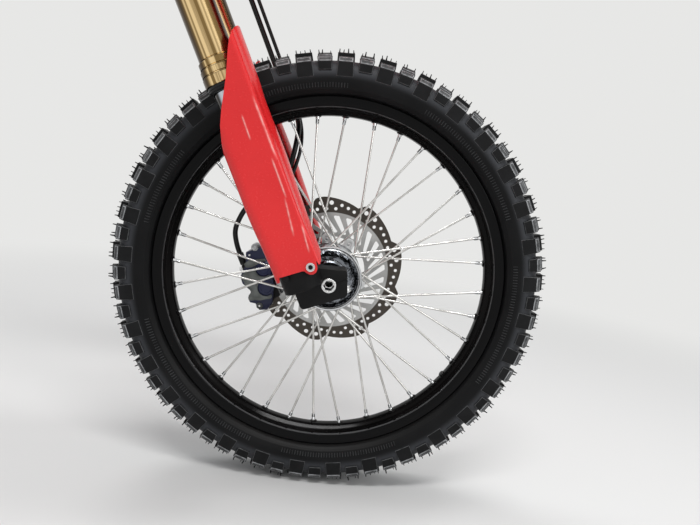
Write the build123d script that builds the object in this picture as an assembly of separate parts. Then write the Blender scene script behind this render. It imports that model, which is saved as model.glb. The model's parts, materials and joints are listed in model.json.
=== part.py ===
from build123d import *
import os
from math import cos, pi, radians, sin

# Off-road motorcycle front fork with its wheel, brake and fender.
# Millimetres; X is forward, Y is to the rider's left, Z is up.
# The origin is the steering stem's lower bearing seat.
# The fork frame leans back by the rake: its z runs up the steering axis.
# The wheel frame is upright and has its origin at the wheel's centre.

# Steering geometry
rake = 27.5                 # degrees from upright
clamp_offset = 24.0         # steering axis to the fork legs, forward
axle_lead = 34.0            # fork legs to the axle, forward
axle_drop = 756.0           # bearing seat down to the axle, along the fork
leg_side = 96.8             # wheel's middle plane to a fork leg's axis
fit_gap = 0.05              # radial gap of a shaft or plug in its bore
face_gap = 0.05             # gap between flat faces that bear on each other
running_gap = 0.3           # gap between a turning face and a fixed one

# Fork legs, places measured up from the axle
inner_tube_radius = 21.5
inner_tube_wall = 2.5
inner_tube_foot = 22.0
inner_tube_top = 520.0
outer_tube_radius = 25.1
outer_tube_bore_radius = 22.4
outer_tube_foot = 311.0
outer_tube_clamp_radius = 27.0      # where the lower clamp grips it
outer_tube_clamp_start = 650.0
outer_tube_clamp_end = 891.0
outer_tube_neck_radius = 25.6       # where the upper clamp grips it
outer_tube_neck_start = 905.0
outer_tube_top = 958.0
ring_groove_depth = 0.9
ring_groove_width = 1.4
# Stepped foot of the outer tube: groove place and radius of the ring below it
outer_tube_rings = [(325.0, 29.6), (335.3, 28.9), (346.0, 27.6)]
dust_seal_height = 9.0
dust_seal_radius = 28.0
fork_cap_height = 12.0
fork_cap_flats = 42.0
adjuster_radius = 9.0
adjuster_height = 5.0

# Axle, fork bottoms and collars
axle_radius = 10.0
axle_head_radius = 11.3
axle_head_length = 41.0
axle_key_flats = 14.0
axle_key_depth = 22.0
axle_bore_radius = 6.0
lug_outer_side = 98.8       # outer face of each axle lug
right_lug_inner_side = 57.5
left_lug_inner_side = 70.3
lug_corner = 6.0
leg_foot_radius = 29.3      # round foot that takes the inner tube
leg_foot_low = 8.5
lug_low = -20.0
leg_foot_high = 72.0
slit_width = 2.5
pinch_bolt_radius = 3.0
pinch_bolt_head_radius = 5.5
pinch_bolt_head_height = 6.0
pinch_bolt_ahead = 22.0
pinch_bolt_rows = (68.5, 88.0)
axle_nut_flats = 27.0
axle_nut_height = 11.0
axle_nut_washer_radius = 16.8
axle_thread_end = 112.5
collar_radius = 16.0

# Wheel
rim_bed_radius = 253.0
rim_wall = 3.4
rim_lip_radius = 279.5
rim_half_width = 26.2
bead_seat_radius = 266.9
bead_gap = 0.3
tyre_pitches = 33
long_lug_angle = 5.7
crown_radius = 346.2
tyre_inner_radius = 326.0

# Spokes: each hub flange holds two families, led off in opposite ways
spoke_radius = 1.75
spoke_circle = 46.0
spoke_hole_gap = 0.12
spoke_head_radius = 3.0
spoke_head_height = 1.4
nipple_radius = 3.2
nipple_length = 15.8
nipple_depth = 3.0
nipple_side = 4.0
nipple_gap = 0.15
rim_boss_radius = 6.2
rim_boss_height = 1.2
spokes_per_family = 9
plug_angle = 325.6
plug_radius = 5.0
plug_height = 3.0
valve_angle = 126.3
valve_radius = 4.0
valve_length = 38.0
valve_cap_radius = 4.8
valve_cap_length = 14.0
valve_nut_radius = 8.0
valve_nut_height = 4.0

# Hub
hub_lip_radius = 51.0
hub_lip_side = 38.3
hub_lip_rear = 34.6
hub_flange_radius = 50.5
hub_flange_thickness = 4.0
right_flange_side = 29.0    # outer face of the right spoke flange
left_flange_side = 30.4
outer_elbow_stand = 2.8     # elbow line outside its flange
inner_elbow_stand = 2.6
hub_barrel_radius = 23.0
hub_drum_radius = 34.0
hub_drum_side = 50.0
bearing_radius = 21.0
bearing_width = 11.5
right_bearing_side = 37.5
left_bearing_side = 45.5
seal_width = 1.6

# Brake disc
disc_side = 52.95           # face towards the hub
disc_thickness = 3.5
disc_lobes = 9
disc_valley_radius = 117.0
disc_peak_radius = 126.4
disc_valley_angle = 33.0
disc_inner_radius = 59.5
disc_bolt_circle = 56.0
disc_tab_radius = 8.6
disc_bolt_radius = 3.0
disc_bolt_head_radius = 5.2
disc_bolt_head_height = 2.6
disc_bolt_angles = (62.0, 103.0)
disc_bolt_groups = 3
disc_slots = 27

# Fork guards
guard_wall = 2.6
guard_outer_side = 131.0
guard_front_turn = 30.0     # how far the guard wraps past the front, degrees
guard_guide_along = 344.0   # moulded guide for the hose, left guard only
guard_guide_foot = 8.4
guard_screw_ahead = -11.8
guard_screw_along = 38.9
guard_screw_radius = 3.0
guard_screw_head_radius = 6.3
guard_screw_head_height = 3.0
guard_boss_radius = 8.0
guard_rest_ahead = -51.0    # plain boss that the guard's rear rests on
guard_rest_along = 35.0
guard_rest_radius = 5.0

# Brake caliper
caliper_inner_side = 36.0
caliper_outer_side = 86.0
caliper_bracket_gap = 0.4
caliper_cavity_low = 42.6
caliper_cavity_high = 66.8
caliper_cavity_radius = 131.5
bracket_thickness = 6.0
bracket_high = left_lug_inner_side - face_gap
bracket_low = bracket_high - bracket_thickness
pad_angle = 197.0           # middle of the pads, from forward towards up
pad_gap = 0.6
pad_lining = 4.0
pad_plate = 3.0
bracket_bolt_places = [(-66.0, 52.0), (-66.0, -6.0)]    # ahead, along
bracket_bolt_radius = 4.0
bracket_bolt_head_radius = 6.5
bracket_bolt_head_height = 3.0
slide_pin_places = [(-102.0, 66.0), (-112.0, -14.0)]
slide_pin_radius = 4.0
slide_pin_end = 83.0

# Clamps and stem, heights above the bearing seat
stem_seat_radius = 15.0
stem_seat_length = 17.0
stem_root_radius = 16.0     # below the seat, pressed into the lower clamp
stem_radius = 14.0
stem_top_radius = 13.0
lower_clamp_low = -36.0
lower_clamp_high = -3.0
upper_clamp_low = 181.0
upper_clamp_high = 204.0
clamp_ring_wall = 9.0
clamp_slit = 3.0
clamp_bolt_radius = 4.0
clamp_bolt_head_radius = 6.5
clamp_bolt_head_height = 8.0
stem_nut_flats = 32.0
stem_nut_height = 12.0
handlebar_hole_radius = 5.0
handlebar_hole_side = 48.0
handlebar_hole_ahead = 6.0

# Fender
fender_wall = 3.0
fender_pad_length = 74.0
fender_pad_width = 84.0
fender_pad_depth = 10.0
fender_boss_depth = 14.0
fender_boss_radius = 9.0
fender_bolt_side = 28.0
fender_bolt_front = 31.0
fender_bolt_rear = -11.0
fender_bolt_radius = 3.0
fender_bolt_head_radius = 7.0
fender_bolt_head_height = 3.0

# Brake hose and sensor lead
hose_radius = 4.5
lead_radius = 3.1
clip_wall = 1.8
clip_gap = 0.15
clip_height = 12.0
ferrule_radius = 6.2
ferrule_length = 18.0
banjo_radius = 8.5
banjo_thickness = 8.0
banjo_bolt_radius = 5.0
banjo_along = 50.0          # centre of the caliper's banjo, up from the axle
banjo_ahead = -137.0        # face of the caliper that it bears on
hose_bracket_thickness = 3.0
holder_screw_radius = 2.5
holder_screw_head_radius = 4.6
sensor_place = (-83.0, 7.0)
sensor_radius = 4.5
sensor_flange_radius = 7.5
sensor_disc_gap = 1.0
longest_bend = 400.0
hose_line = (31.7, 97.0)            # ahead and side of the hose beside the left leg
lead_line = (43.3, 97.0)
hose_top_line = (8.2, 62.0)
lead_top_line = (21.2, 62.0)
hose_clamp_line = (13.0, 96.0)
lead_clamp_line = (26.0, 96.0)
clamp_clip_low = lower_clamp_low + 12
clamp_clip_foot_side = 85.0
clamp_clip_start = 57.2             # foot of the clip, ahead of the stem
clamp_clip_end = 67.4
top_bracket_screw = (38.0, 61.0)

axle_ahead = clamp_offset + axle_lead
axle_x = axle_ahead * cos(radians(rake)) + axle_drop * sin(radians(rake))
axle_z = axle_ahead * sin(radians(rake)) - axle_drop * cos(radians(rake))
fork_place = Rot(0, -rake, 0)
wheel_place = Pos(axle_x, 0, axle_z)
LOW = (Align.CENTER, Align.CENTER, Align.MIN)


def save(name, shape, place):
    # One node to its file; several solids stay apart in it.
    solids = shape if isinstance(shape, list) else [shape]
    placed = [place * part for one in solids for part in one.solids()]
    whole = placed[0] if len(placed) == 1 else Compound(placed)
    whole.label = name
    export_step(whole, "parts/" + name + ".step")


def outline(points, radius=0.0):
    if radius:
        return make_face(FilletPolyline(*points, radius=radius, close=True))
    return make_face(Polyline(*points, close=True))


def lathe_y(points):
    # Turned about the wheel's axis; points are (radius, side).
    return revolve(outline(points), Axis.Y)


def lathe_z(points):
    # Turned about a fork leg's axis; points are (radius, height).
    return revolve(Plane.XZ * outline(points), Axis.Z)


def bar(start, end, radius):
    run = Vector(*end) - Vector(*start)
    return Plane(origin=start, z_dir=run) * Cylinder(radius, run.length, align=LOW)


def cross_bar(ahead, up, radius, side_low, side_high):
    return bar((ahead, side_low, up), (ahead, side_high, up), radius)


def slab(face, side_low, side_high):
    # A face drawn in (ahead, up), made solid between two sides.
    return Pos(0, side_high, 0) * extrude(Plane.XZ * face, amount=side_high - side_low)


def from_axle(points):
    # (ahead, along) from the axle into the fork frame.
    return [(axle_ahead + ahead, along - axle_drop) for ahead, along in points]


def polar(radius, angle):
    return (radius * cos(radians(angle)), radius * sin(radians(angle)))


def turned(shape, angle):
    # Turned about the wheel's axis, from forward towards up.
    return Rot(0, -angle, 0) * shape


def hexagon(flats, height):
    return extrude(RegularPolygon(flats / 2, 6, major_radius=False), amount=height)


def cap_screw(head_radius, head_height, shank_radius, length):
    # Head above z = 0, shank below, with a hexagon socket.
    head = Cylinder(head_radius, head_height, align=LOW)
    shank = Pos(0, 0, -length) * Cylinder(shank_radius, length + 0.1, align=LOW)
    socket = Pos(0, 0, head_height * 0.4) * hexagon(head_radius, head_height)
    return head + shank - socket


# Tyre

def ring_of_flats(half, start):
    # A ring of flat facets, one for each pitch; half is (radius, side) of its flats.
    other = [(radius, -side) for radius, side in reversed(half)]
    loop = half + other
    step = 360 / tyre_pitches
    faces = []
    for index in range(tyre_pitches):
        rings = []
        for angle in (start + index * step, start + (index + 1) * step):
            ring = []
            for radius, side in loop:
                x, z = polar(radius / cos(radians(step / 2)), angle)
                ring.append((x, side, z))
            rings.append(ring)
        first, second = rings
        for here in range(len(loop)):
            after = (here + 1) % len(loop)
            corners = [first[here], first[after], second[after], second[here]]
            faces.append(make_face(Polyline(*corners, close=True)))
    return Solid(Shell(faces))


def make_tyre():
    pitch = 360 / tyre_pitches
    bead_radius = bead_seat_radius + bead_gap
    half = [
        (331.5, 27.0),
        (303.0, 38.5),
        (290.0, 35.5),
        (282.0, 28.8),
        (rim_lip_radius + 0.8, 22.0),
        (bead_radius, 22.0),
        (bead_radius, 13.0),
        (301.0, 28.5),
        (tyre_inner_radius, 22.0),
    ]
    carcass = ring_of_flats(half, long_lug_angle - pitch / 4)
    # Knobs of one pitch: share of the pitch, half width at the top and at the
    # foot, the sides it stands on, and the section as (radius, side) corners.
    middle = [(329, -12.5), (crown_radius, -12.5), (crown_radius, 12.5), (329, 12.5)]
    flank = [(329, 12.5), (345.0, 12.5), (340.5, 24.5), (329, 24.5)]
    long_lug = [(312, 27), (337, 27), (335, 34), (326.5, 38.6), (305.5, 38.9), (304.5, 34)]
    short_lug = [(318, 27), (337, 27), (334.8, 34), (326.5, 38.2), (315, 38.4), (313.5, 33)]
    knobs = [
        (0.0, 13.0, 13.6, (1,), middle),
        (0.5, 10.5, 11.2, (1, -1), flank),
        (0.0, 11.3, 12.6, (1, -1), long_lug),
        (0.5, 11.7, 9.4, (1, -1), short_lug),
    ]
    placed = []
    for share, top, foot, hands, section in knobs:
        low = min(radius for radius, side in section)
        high = max(radius for radius, side in section)
        face = outline([(high, -top), (high, top), (low, foot), (low, -foot)])
        for hand in hands:
            corners = [(radius, hand * side) for radius, side in section]
            sides = sorted(side for radius, side in corners)
            body = extrude(outline(corners), amount=20, both=True)
            knob = body & slab(face, sides[0] - 1, sides[-1] + 1)
            for index in range(tyre_pitches):
                placed.append(turned(knob, long_lug_angle + (index + share) * pitch))
    return carcass.fuse(*placed)


# Rim, spokes and nipples

# Spoke families: name, first nipple angle, lead of the hub end over the nipple,
# side of the flange (+1 left, -1 right), outside the flange or not
spoke_families = [
    ("spokes_right", 21.5, 39.0, -1, True),
    ("spokes_right", 1.0, -39.0, -1, False),
    ("spokes_left", 11.7, 31.0, 1, True),
    ("spokes_left", 31.0, -31.0, 1, False),
]


def spoke_lines():
    # Every spoke: node, elbow point, nipple seat point, flange end point.
    lines = []
    for node, first, lead, hand, outside in spoke_families:
        flange_outer = left_flange_side if hand > 0 else right_flange_side
        flange_inner = flange_outer - hub_flange_thickness
        if outside:
            elbow_side = hand * (flange_outer + outer_elbow_stand)
            head_side = hand * (flange_inner - face_gap)
        else:
            elbow_side = hand * (flange_inner - inner_elbow_stand)
            head_side = hand * (flange_outer + face_gap)
        for index in range(spokes_per_family):
            angle = first + index * 360 / spokes_per_family
            hub_x, hub_z = polar(spoke_circle, angle + lead)
            rim_x, rim_z = polar(rim_bed_radius, angle)
            elbow = Vector(hub_x, elbow_side, hub_z)
            seat = Vector(rim_x, hand * nipple_side, rim_z)
            head = Vector(hub_x, head_side, hub_z)
            lines.append((node, elbow, seat, head))
    return lines


def make_spoke(elbow, seat, head):
    run = (seat - elbow).normalized()
    reach = seat - run * (nipple_length - nipple_depth)
    out = (head - elbow).normalized()
    spoke = bar(tuple(elbow), tuple(reach), spoke_radius)
    spoke += Pos(*elbow) * Sphere(spoke_radius)
    spoke += bar(tuple(elbow), tuple(head + out * 0.2), spoke_radius)
    spoke += bar(tuple(head), tuple(head + out * spoke_head_height), spoke_head_radius)
    return spoke


def make_nipple(elbow, seat):
    run = (seat - elbow).normalized()
    foot = seat - run * (nipple_length - nipple_depth)
    return bar(tuple(foot), tuple(seat + run * nipple_depth), nipple_radius)


def make_rim(lines):
    half = [
        (rim_bed_radius, 0),
        (rim_bed_radius, 6.0),
        (262, 15),
        (265, 20.5),
        (266.5, 24.8),
        (277.5, rim_half_width),
        (rim_lip_radius, 25.4),
        (rim_lip_radius, 23.6),
        (268.8, 22.6),
        (bead_seat_radius, 22.3),
        (bead_seat_radius, 14.0),
        (rim_bed_radius + rim_wall, 7.0),
        (rim_bed_radius + rim_wall, 0),
    ]
    other = [(radius, -side) for radius, side in reversed(half) if side]
    rim = lathe_y(half + other)
    bosses = []
    holes = []
    for node, elbow, seat, head in lines:
        run = (seat - elbow).normalized()
        low = seat - run * rim_boss_height
        high = seat + run * rim_wall * 0.9
        bosses.append(bar(tuple(low), tuple(high), rim_boss_radius))
        hole_radius = nipple_radius + nipple_gap
        holes.append(bar(tuple(seat - run * 6), tuple(seat + run * 8), hole_radius))
    return rim.fuse(*bosses).cut(*holes)


def inside_bed(radius):
    # Depth at which a flat disc of this radius just clears the rim's round bed.
    return (rim_bed_radius ** 2 - radius ** 2) ** 0.5 - face_gap


def make_rim_plug():
    low = inside_bed(plug_radius)
    button = bar((low, 0, 0), (low - plug_height, 0, 0), plug_radius)
    return turned(chamfer(button.edges().group_by(Axis.X)[0], 1.0), plug_angle)


def make_valve():
    low = inside_bed(valve_nut_radius)
    stem = bar((low, 0, 0), (low - valve_length, 0, 0), valve_radius)
    nut = bar((low, 0, 0), (low - valve_nut_height, 0, 0), valve_nut_radius)
    tip = low - valve_length - 2
    cap = bar((tip + valve_cap_length, 0, 0), (tip, 0, 0), valve_cap_radius)
    return turned(stem + nut + cap, valve_angle)


# Hub and bearings

def make_hub(lines):
    bore = axle_radius + 3.0
    seat_radius = bearing_radius + fit_gap
    right_seat_end = right_bearing_side - bearing_width - face_gap
    left_seat_end = left_bearing_side - bearing_width - face_gap
    right_inner = right_flange_side - hub_flange_thickness
    left_inner = left_flange_side - hub_flange_thickness
    body = lathe_y([
        (seat_radius, -hub_lip_side + 0.3),
        (26, -hub_lip_side + 0.3),
        (28, -33.2),
        (34, -32.6),
        (47.2, -hub_lip_side),
        (hub_lip_radius, -hub_lip_side),
        (hub_lip_radius, -hub_lip_rear),
        (43, -hub_lip_rear),
        (43, -right_flange_side),
        (hub_flange_radius, -right_flange_side),
        (hub_flange_radius, -right_inner),
        (40, -right_inner),
        (27, -16),
        (hub_barrel_radius, 0),
        (27, 17),
        (40, left_inner),
        (hub_flange_radius, left_inner),
        (hub_flange_radius, left_flange_side),
        (37, left_flange_side),
        (hub_drum_radius, 36),
        (hub_drum_radius, hub_drum_side),
        (seat_radius + 2, hub_drum_side),
        (seat_radius, hub_drum_side - 2),
        (seat_radius, left_seat_end),
        (bore, left_seat_end),
        (bore, -right_seat_end),
        (seat_radius, -right_seat_end),
    ])
    ear_low = 43.5
    ear_high = disc_side - face_gap
    ears = []
    holes = []
    for angle in disc_bolt_places():
        web = outline([(28, -12), (disc_bolt_circle, -8.2), (disc_bolt_circle, 8.2), (28, 12)])
        ear = slab(web, ear_low, ear_high)
        ear += cross_bar(disc_bolt_circle, 0, 8.2, ear_low, ear_high)
        ears.append(turned(ear, angle))
        hole = cross_bar(disc_bolt_circle, 0, disc_bolt_radius + fit_gap, ear_low - 1, ear_high + 1)
        holes.append(turned(hole, angle))
    for node, elbow, seat, head in lines:
        away = (elbow - head).normalized()
        low = head - away * 3
        holes.append(bar(tuple(low), tuple(elbow), spoke_radius + spoke_hole_gap))
    return body.fuse(*ears).cut(*holes)


def disc_bolt_places():
    step = 360 / disc_bolt_groups
    return [angle + group * step for group in range(disc_bolt_groups) for angle in disc_bolt_angles]


def make_bearing(side_low, side_high):
    inner = axle_radius + fit_gap
    return lathe_y([
        (inner, side_low),
        (bearing_radius, side_low),
        (bearing_radius, side_high),
        (inner, side_high),
    ])


def make_seal(side_low, side_high):
    return lathe_y([
        (collar_radius + running_gap, side_low),
        (bearing_radius - fit_gap, side_low),
        (bearing_radius - fit_gap, side_high),
        (collar_radius + running_gap, side_high),
    ])


# Brake disc

def make_disc():
    step = 360 / disc_lobes
    edges = []
    for index in range(disc_lobes):
        base = disc_valley_angle + index * step
        valley = polar(disc_valley_radius, base)
        rise = polar(disc_valley_radius + 5.0, base + 13)
        crest_start = polar(disc_peak_radius, base + 26)
        crest = polar(disc_peak_radius + 0.6, base + 31)
        crest_end = polar(disc_peak_radius - 0.8, base + 35.5)
        next_valley = polar(disc_valley_radius, base + step)
        edges.append(ThreePointArc(valley, rise, crest_start))
        edges.append(ThreePointArc(crest_start, crest, crest_end))
        edges.append(Line(crest_end, next_valley))
    plate = slab(make_face(Wire(edges)), disc_side, disc_side + disc_thickness)
    cuts = [cross_bar(0, 0, disc_inner_radius, disc_side - 1, disc_side + disc_thickness + 1)]
    # Holes of one lobe: turn past the base angle, circle radius, hole radius
    holes = [
        (0.0, 107.0, 2.8),
        (6.0, 108.5, 2.8),
        (12.0, 111.0, 2.8),
        (18.0, 113.5, 2.8),
        (23.0, 106.5, 2.8),
        (31.5, 106.5, 2.8),
        (27.0, 116.5, 3.7),
        (36.0, 116.5, 3.7),
    ]
    hole_base = 29.0
    for index in range(disc_lobes):
        for turn, circle, radius in holes:
            hole = cross_bar(circle, 0, radius, disc_side - 1, disc_side + disc_thickness + 1)
            cuts.append(turned(hole, hole_base + turn + index * step))
    slot_step = 360 / disc_slots
    for index in range(disc_slots):
        base = 22.0 + index * slot_step
        corners = [
            polar(66, base - 3.9),
            polar(66, base + 2.7),
            polar(95, base + 19),
            polar(95, base + 12.4),
        ]
        cuts.append(slab(outline(corners, 2.2), disc_side - 1, disc_side + disc_thickness + 1))
    disc = plate.cut(*cuts)
    tabs = []
    tab_holes = []
    high = disc_side + disc_thickness
    for angle in disc_bolt_places():
        tab = cross_bar(disc_bolt_circle, 0, disc_tab_radius, disc_side, high)
        tabs.append(turned(tab, angle))
        bore = disc_bolt_radius + fit_gap
        tab_holes.append(turned(cross_bar(disc_bolt_circle, 0, bore, disc_side - 1, high + 1), angle))
    return disc.fuse(*tabs).cut(*tab_holes)


def make_disc_bolts():
    face = disc_side + disc_thickness + face_gap
    screw = cap_screw(disc_bolt_head_radius, disc_bolt_head_height, disc_bolt_radius, 12.5)
    placed = Pos(disc_bolt_circle, face, 0) * Rot(-90, 0, 0) * screw
    return [turned(placed, angle) for angle in disc_bolt_places()]


# Axle and fork bottoms

def make_axle():
    head_low = -lug_outer_side
    head_high = head_low + axle_head_length
    axle = bar((0, head_low, 0), (0, head_high, 0), axle_head_radius)
    axle += bar((0, head_low, 0), (0, axle_thread_end, 0), axle_radius)
    axle = chamfer(axle.edges().filter_by(GeomType.CIRCLE).group_by(Axis.Y)[0], 1.0)
    socket = Rot(-90, 0, 0) * hexagon(axle_key_flats, axle_key_depth)
    axle -= Pos(0, head_low - 0.1, 0) * socket
    axle -= bar((0, head_low, 0), (0, axle_thread_end + 1, 0), axle_bore_radius)
    return axle


def make_axle_nut():
    low = lug_outer_side + face_gap
    nut = Pos(0, low, 0) * Rot(-90, 0, 0) * hexagon(axle_nut_flats, axle_nut_height)
    nut += bar((0, low, 0), (0, low + 2, 0), axle_nut_washer_radius)
    return nut - bar((0, low - 1, 0), (0, low + 30, 0), axle_radius + fit_gap)


def make_collar(side_low, side_high):
    inner = axle_radius + fit_gap
    return lathe_y([
        (inner, side_low),
        (collar_radius, side_low),
        (collar_radius, side_high),
        (inner, side_high),
    ])


def make_fork_bottom(hand):
    # Cast foot of a leg: round tube socket, axle lug ahead of it and guard boss.
    inner_side = right_lug_inner_side if hand < 0 else left_lug_inner_side
    low, high = sorted((hand * inner_side, hand * lug_outer_side))
    lug = slab(outline(from_axle([
        (-50, lug_low),
        (20, lug_low - 4),
        (33.5, 12.5),
        (20, 17),
        (-6, 30),
        (-22, 34),
        (-50, 34),
    ]), lug_corner), low, high)
    leg = Pos(clamp_offset, hand * leg_side, 0)
    foot = Pos(0, 0, leg_foot_low - axle_drop) * Cylinder(
        leg_foot_radius, leg_foot_high - leg_foot_low, align=LOW)
    foot = chamfer(foot.edges().filter_by(GeomType.CIRCLE), 1.5)
    bottom = lug + leg * foot
    boss_high = guard_outer_side - guard_wall - face_gap
    boss_x = axle_ahead + guard_screw_ahead
    boss_z = guard_screw_along - axle_drop
    sides = sorted((hand * leg_side, hand * boss_high))
    bottom += cross_bar(boss_x, boss_z, guard_boss_radius, *sides)
    rest_x = axle_ahead + guard_rest_ahead
    rest_z = guard_rest_along - axle_drop
    bottom += cross_bar(rest_x, rest_z, guard_rest_radius, *sides)
    web = outline([
        (boss_x, boss_z - 7),
        (boss_x, boss_z + 7),
        (rest_x, rest_z + 5),
        (rest_x, rest_z - 5),
    ])
    bottom += slab(web, *sorted((hand * (leg_side - 6), hand * (leg_side + 6))))
    if hand > 0:
        for ahead, along in bracket_bolt_places:
            ear = slab(outline(from_axle([
                (ahead, along - 9),
                (-axle_lead, along - 9),
                (-axle_lead, along + 9),
                (ahead, along + 9),
            ])), left_lug_inner_side, leg_side)
            x, z = from_axle([(ahead, along)])[0]
            bottom += ear + cross_bar(x, z, 9.0, left_lug_inner_side, leg_side)
    socket_low = inner_tube_foot - axle_drop - face_gap
    bottom -= leg * Pos(0, 0, socket_low) * Cylinder(inner_tube_radius + fit_gap, 200, align=LOW)
    if hand > 0:
        bottom -= cross_bar(axle_ahead, -axle_drop, axle_nut_washer_radius + 1.5, lug_outer_side, 140)
    lug_bore = axle_head_radius if hand < 0 else axle_radius
    bottom -= cross_bar(axle_ahead, -axle_drop, lug_bore + fit_gap, low - 30, high + 30)
    slit = Pos(axle_ahead + 25, hand * 85, -axle_drop) * Box(50, 80, slit_width)
    bottom -= slit
    for row in pinch_bolt_rows:
        bolt_x = axle_ahead + pinch_bolt_ahead
        bottom -= Pos(bolt_x, hand * row, -axle_drop - 40) * Cylinder(
            pinch_bolt_radius + fit_gap, 52, align=LOW)
        bottom -= Pos(bolt_x, hand * row, -axle_drop - 40) * Cylinder(
            pinch_bolt_head_radius + 0.4, 40 - 14, align=LOW)
    screw_low, screw_high = sorted((hand * (leg_side + 6), hand * (boss_high + 1)))
    bottom -= cross_bar(boss_x, boss_z, guard_screw_radius + fit_gap, screw_low, screw_high)
    if hand > 0:
        for ahead, along in bracket_bolt_places:
            x, z = from_axle([(ahead, along)])[0]
            bore = bracket_bolt_radius + fit_gap
            bottom -= cross_bar(x, z, bore, left_lug_inner_side - 1, left_lug_inner_side + 16)
    return bottom


def make_pinch_bolts():
    bolts = []
    screw = cap_screw(pinch_bolt_head_radius, pinch_bolt_head_height, pinch_bolt_radius, 25.5)
    for hand in (-1, 1):
        for row in pinch_bolt_rows:
            place = Pos(axle_ahead + pinch_bolt_ahead, hand * row, -axle_drop - 14 - face_gap)
            bolts.append(place * Rot(180, 0, 0) * screw)
    return bolts


# Fork tubes

def make_inner_tube(hand):
    low = inner_tube_foot - axle_drop
    high = inner_tube_top - axle_drop
    bore = inner_tube_radius - inner_tube_wall
    tube = lathe_z([(bore, low), (inner_tube_radius, low), (inner_tube_radius, high), (bore, high)])
    return Pos(clamp_offset, hand * leg_side, 0) * tube


def make_outer_tube(hand):
    def up(along):
        return along - axle_drop
    profile = [(outer_tube_bore_radius, up(outer_tube_foot))]
    low = outer_tube_foot
    radii = [radius for place, radius in outer_tube_rings[1:]] + [outer_tube_radius]
    for (place, radius), above in zip(outer_tube_rings, radii):
        high = place - ring_groove_width / 2
        profile += [
            (radius - (0.6 if low == outer_tube_foot else 0), up(low)),
            (radius, up(low + 0.6)),
            (radius, up(high)),
            (above - ring_groove_depth, up(high)),
            (above - ring_groove_depth, up(high + ring_groove_width)),
        ]
        low = high + ring_groove_width
    profile += [
        (outer_tube_radius, up(low)),
        (outer_tube_radius, up(outer_tube_clamp_start)),
        (outer_tube_clamp_radius, up(outer_tube_clamp_start + 14)),
        (outer_tube_clamp_radius, up(outer_tube_clamp_end)),
        (outer_tube_neck_radius, up(outer_tube_neck_start)),
        (outer_tube_neck_radius, up(outer_tube_top)),
        (outer_tube_bore_radius, up(outer_tube_top)),
    ]
    return Pos(clamp_offset, hand * leg_side, 0) * lathe_z(profile)


def make_dust_seal(hand):
    high = outer_tube_foot - axle_drop - face_gap
    low = high - dust_seal_height
    inner = inner_tube_radius + fit_gap
    seal = lathe_z([
        (inner, low),
        (dust_seal_radius - 4, low),
        (dust_seal_radius, low + 3),
        (dust_seal_radius, high),
        (inner, high),
    ])
    return Pos(clamp_offset, hand * leg_side, 0) * seal


def make_fork_cap(hand):
    low = outer_tube_top - axle_drop + face_gap
    cap = Pos(0, 0, low - 16) * Cylinder(outer_tube_bore_radius - fit_gap, 17, align=LOW)
    cap += Pos(0, 0, low) * Cylinder(outer_tube_neck_radius, 4, align=LOW)
    cap += Pos(0, 0, low) * hexagon(fork_cap_flats, fork_cap_height)
    cap += Pos(0, 0, low) * Cylinder(adjuster_radius, fork_cap_height + adjuster_height, align=LOW)
    return Pos(clamp_offset, hand * leg_side, 0) * cap


# Fork guards

# Guard sections up the leg: height along the fork from the axle, outer radius
# of the front wrap about the leg's axis, place ahead of the outer shoulder,
# and place of the rear edge
guard_sections = [
    (20, 41.0, 0.5, -66.5),
    (46, 41.0, 0.0, -66.5),
    (72, 41.0, -0.8, -67.3),
    (105, 41.3, -2.8, -69.0),
    (134, 41.6, -3.2, -70.2),
    (200, 43.1, -3.4, -69.8),
    (275, 42.0, -3.6, -69.8),
    (300, 43.5, -3.6, -69.8),
    (380, 44.0, -3.6, -69.8),
]


def guard_band(hand, along, wrap, shoulder, rear):
    # One closed section of the guard's wall, from the inner front round to the rear.
    def path(inset):
        side = guard_outer_side - leg_side - inset
        points = []
        for share in (-1.0, -0.75, -0.5, -0.25, 0.0, 0.25, 0.5, 0.75, 1.0):
            x, y = polar(wrap - inset, guard_front_turn * share)
            points.append((x - axle_lead, y))
        points.append((shoulder + 2.5 - inset, side - 1.6))
        points.append((shoulder - 2.5 - inset, side))
        points.append((rear + 16, side))
        points.append((rear + 3 + inset * 0.6, side - 4))
        points.append((rear + inset, side - 16))
        return points
    band = path(0) + list(reversed(path(guard_wall)))
    corners = [(x, hand * (leg_side + y)) for x, y in band]
    plane = Plane(origin=(axle_ahead, 0, along - axle_drop), z_dir=(0, 0, 1))
    return plane * outline(corners)


# Outlines of the guard seen from the side, as (ahead, along) from the axle:
# its upper end, the lower end of the outer skin and that of the front wrap
guard_upper_end = [
    (-75, 200),
    (-66, 234),
    (-58, 258),
    (-49, 276),
    (-39.8, 292),
    (-30.7, 308),
    (-22.4, 324),
    (-12, 345.7),
    (-6.2, 356.2),
    (-3.5, 359.5),
    (-0.6, 362.8),
    (2.5, 367.5),
    (5, 371),
    (7.5, 374),
    (10, 376),
    (24, 376),
]
guard_skin_end = [
    (20, 60),
    (8, 58),
    (-1, 47),
    (-3.5, 40),
    (-4.5, 33.5),
    (-11.8, 29),
    (-19, 32.5),
    (-24, 37.5),
    (-60, 39.5),
    (-61, 32),
    (-67, 32),
    (-75, 32),
]
guard_wrap_end = [
    (24, 66),
    (20, 60),
    (7.5, 52),
    (3.4, 44.5),
    (0.9, 37),
    (-3.4, 32.5),
    (-75, 32.5),
]


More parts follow.
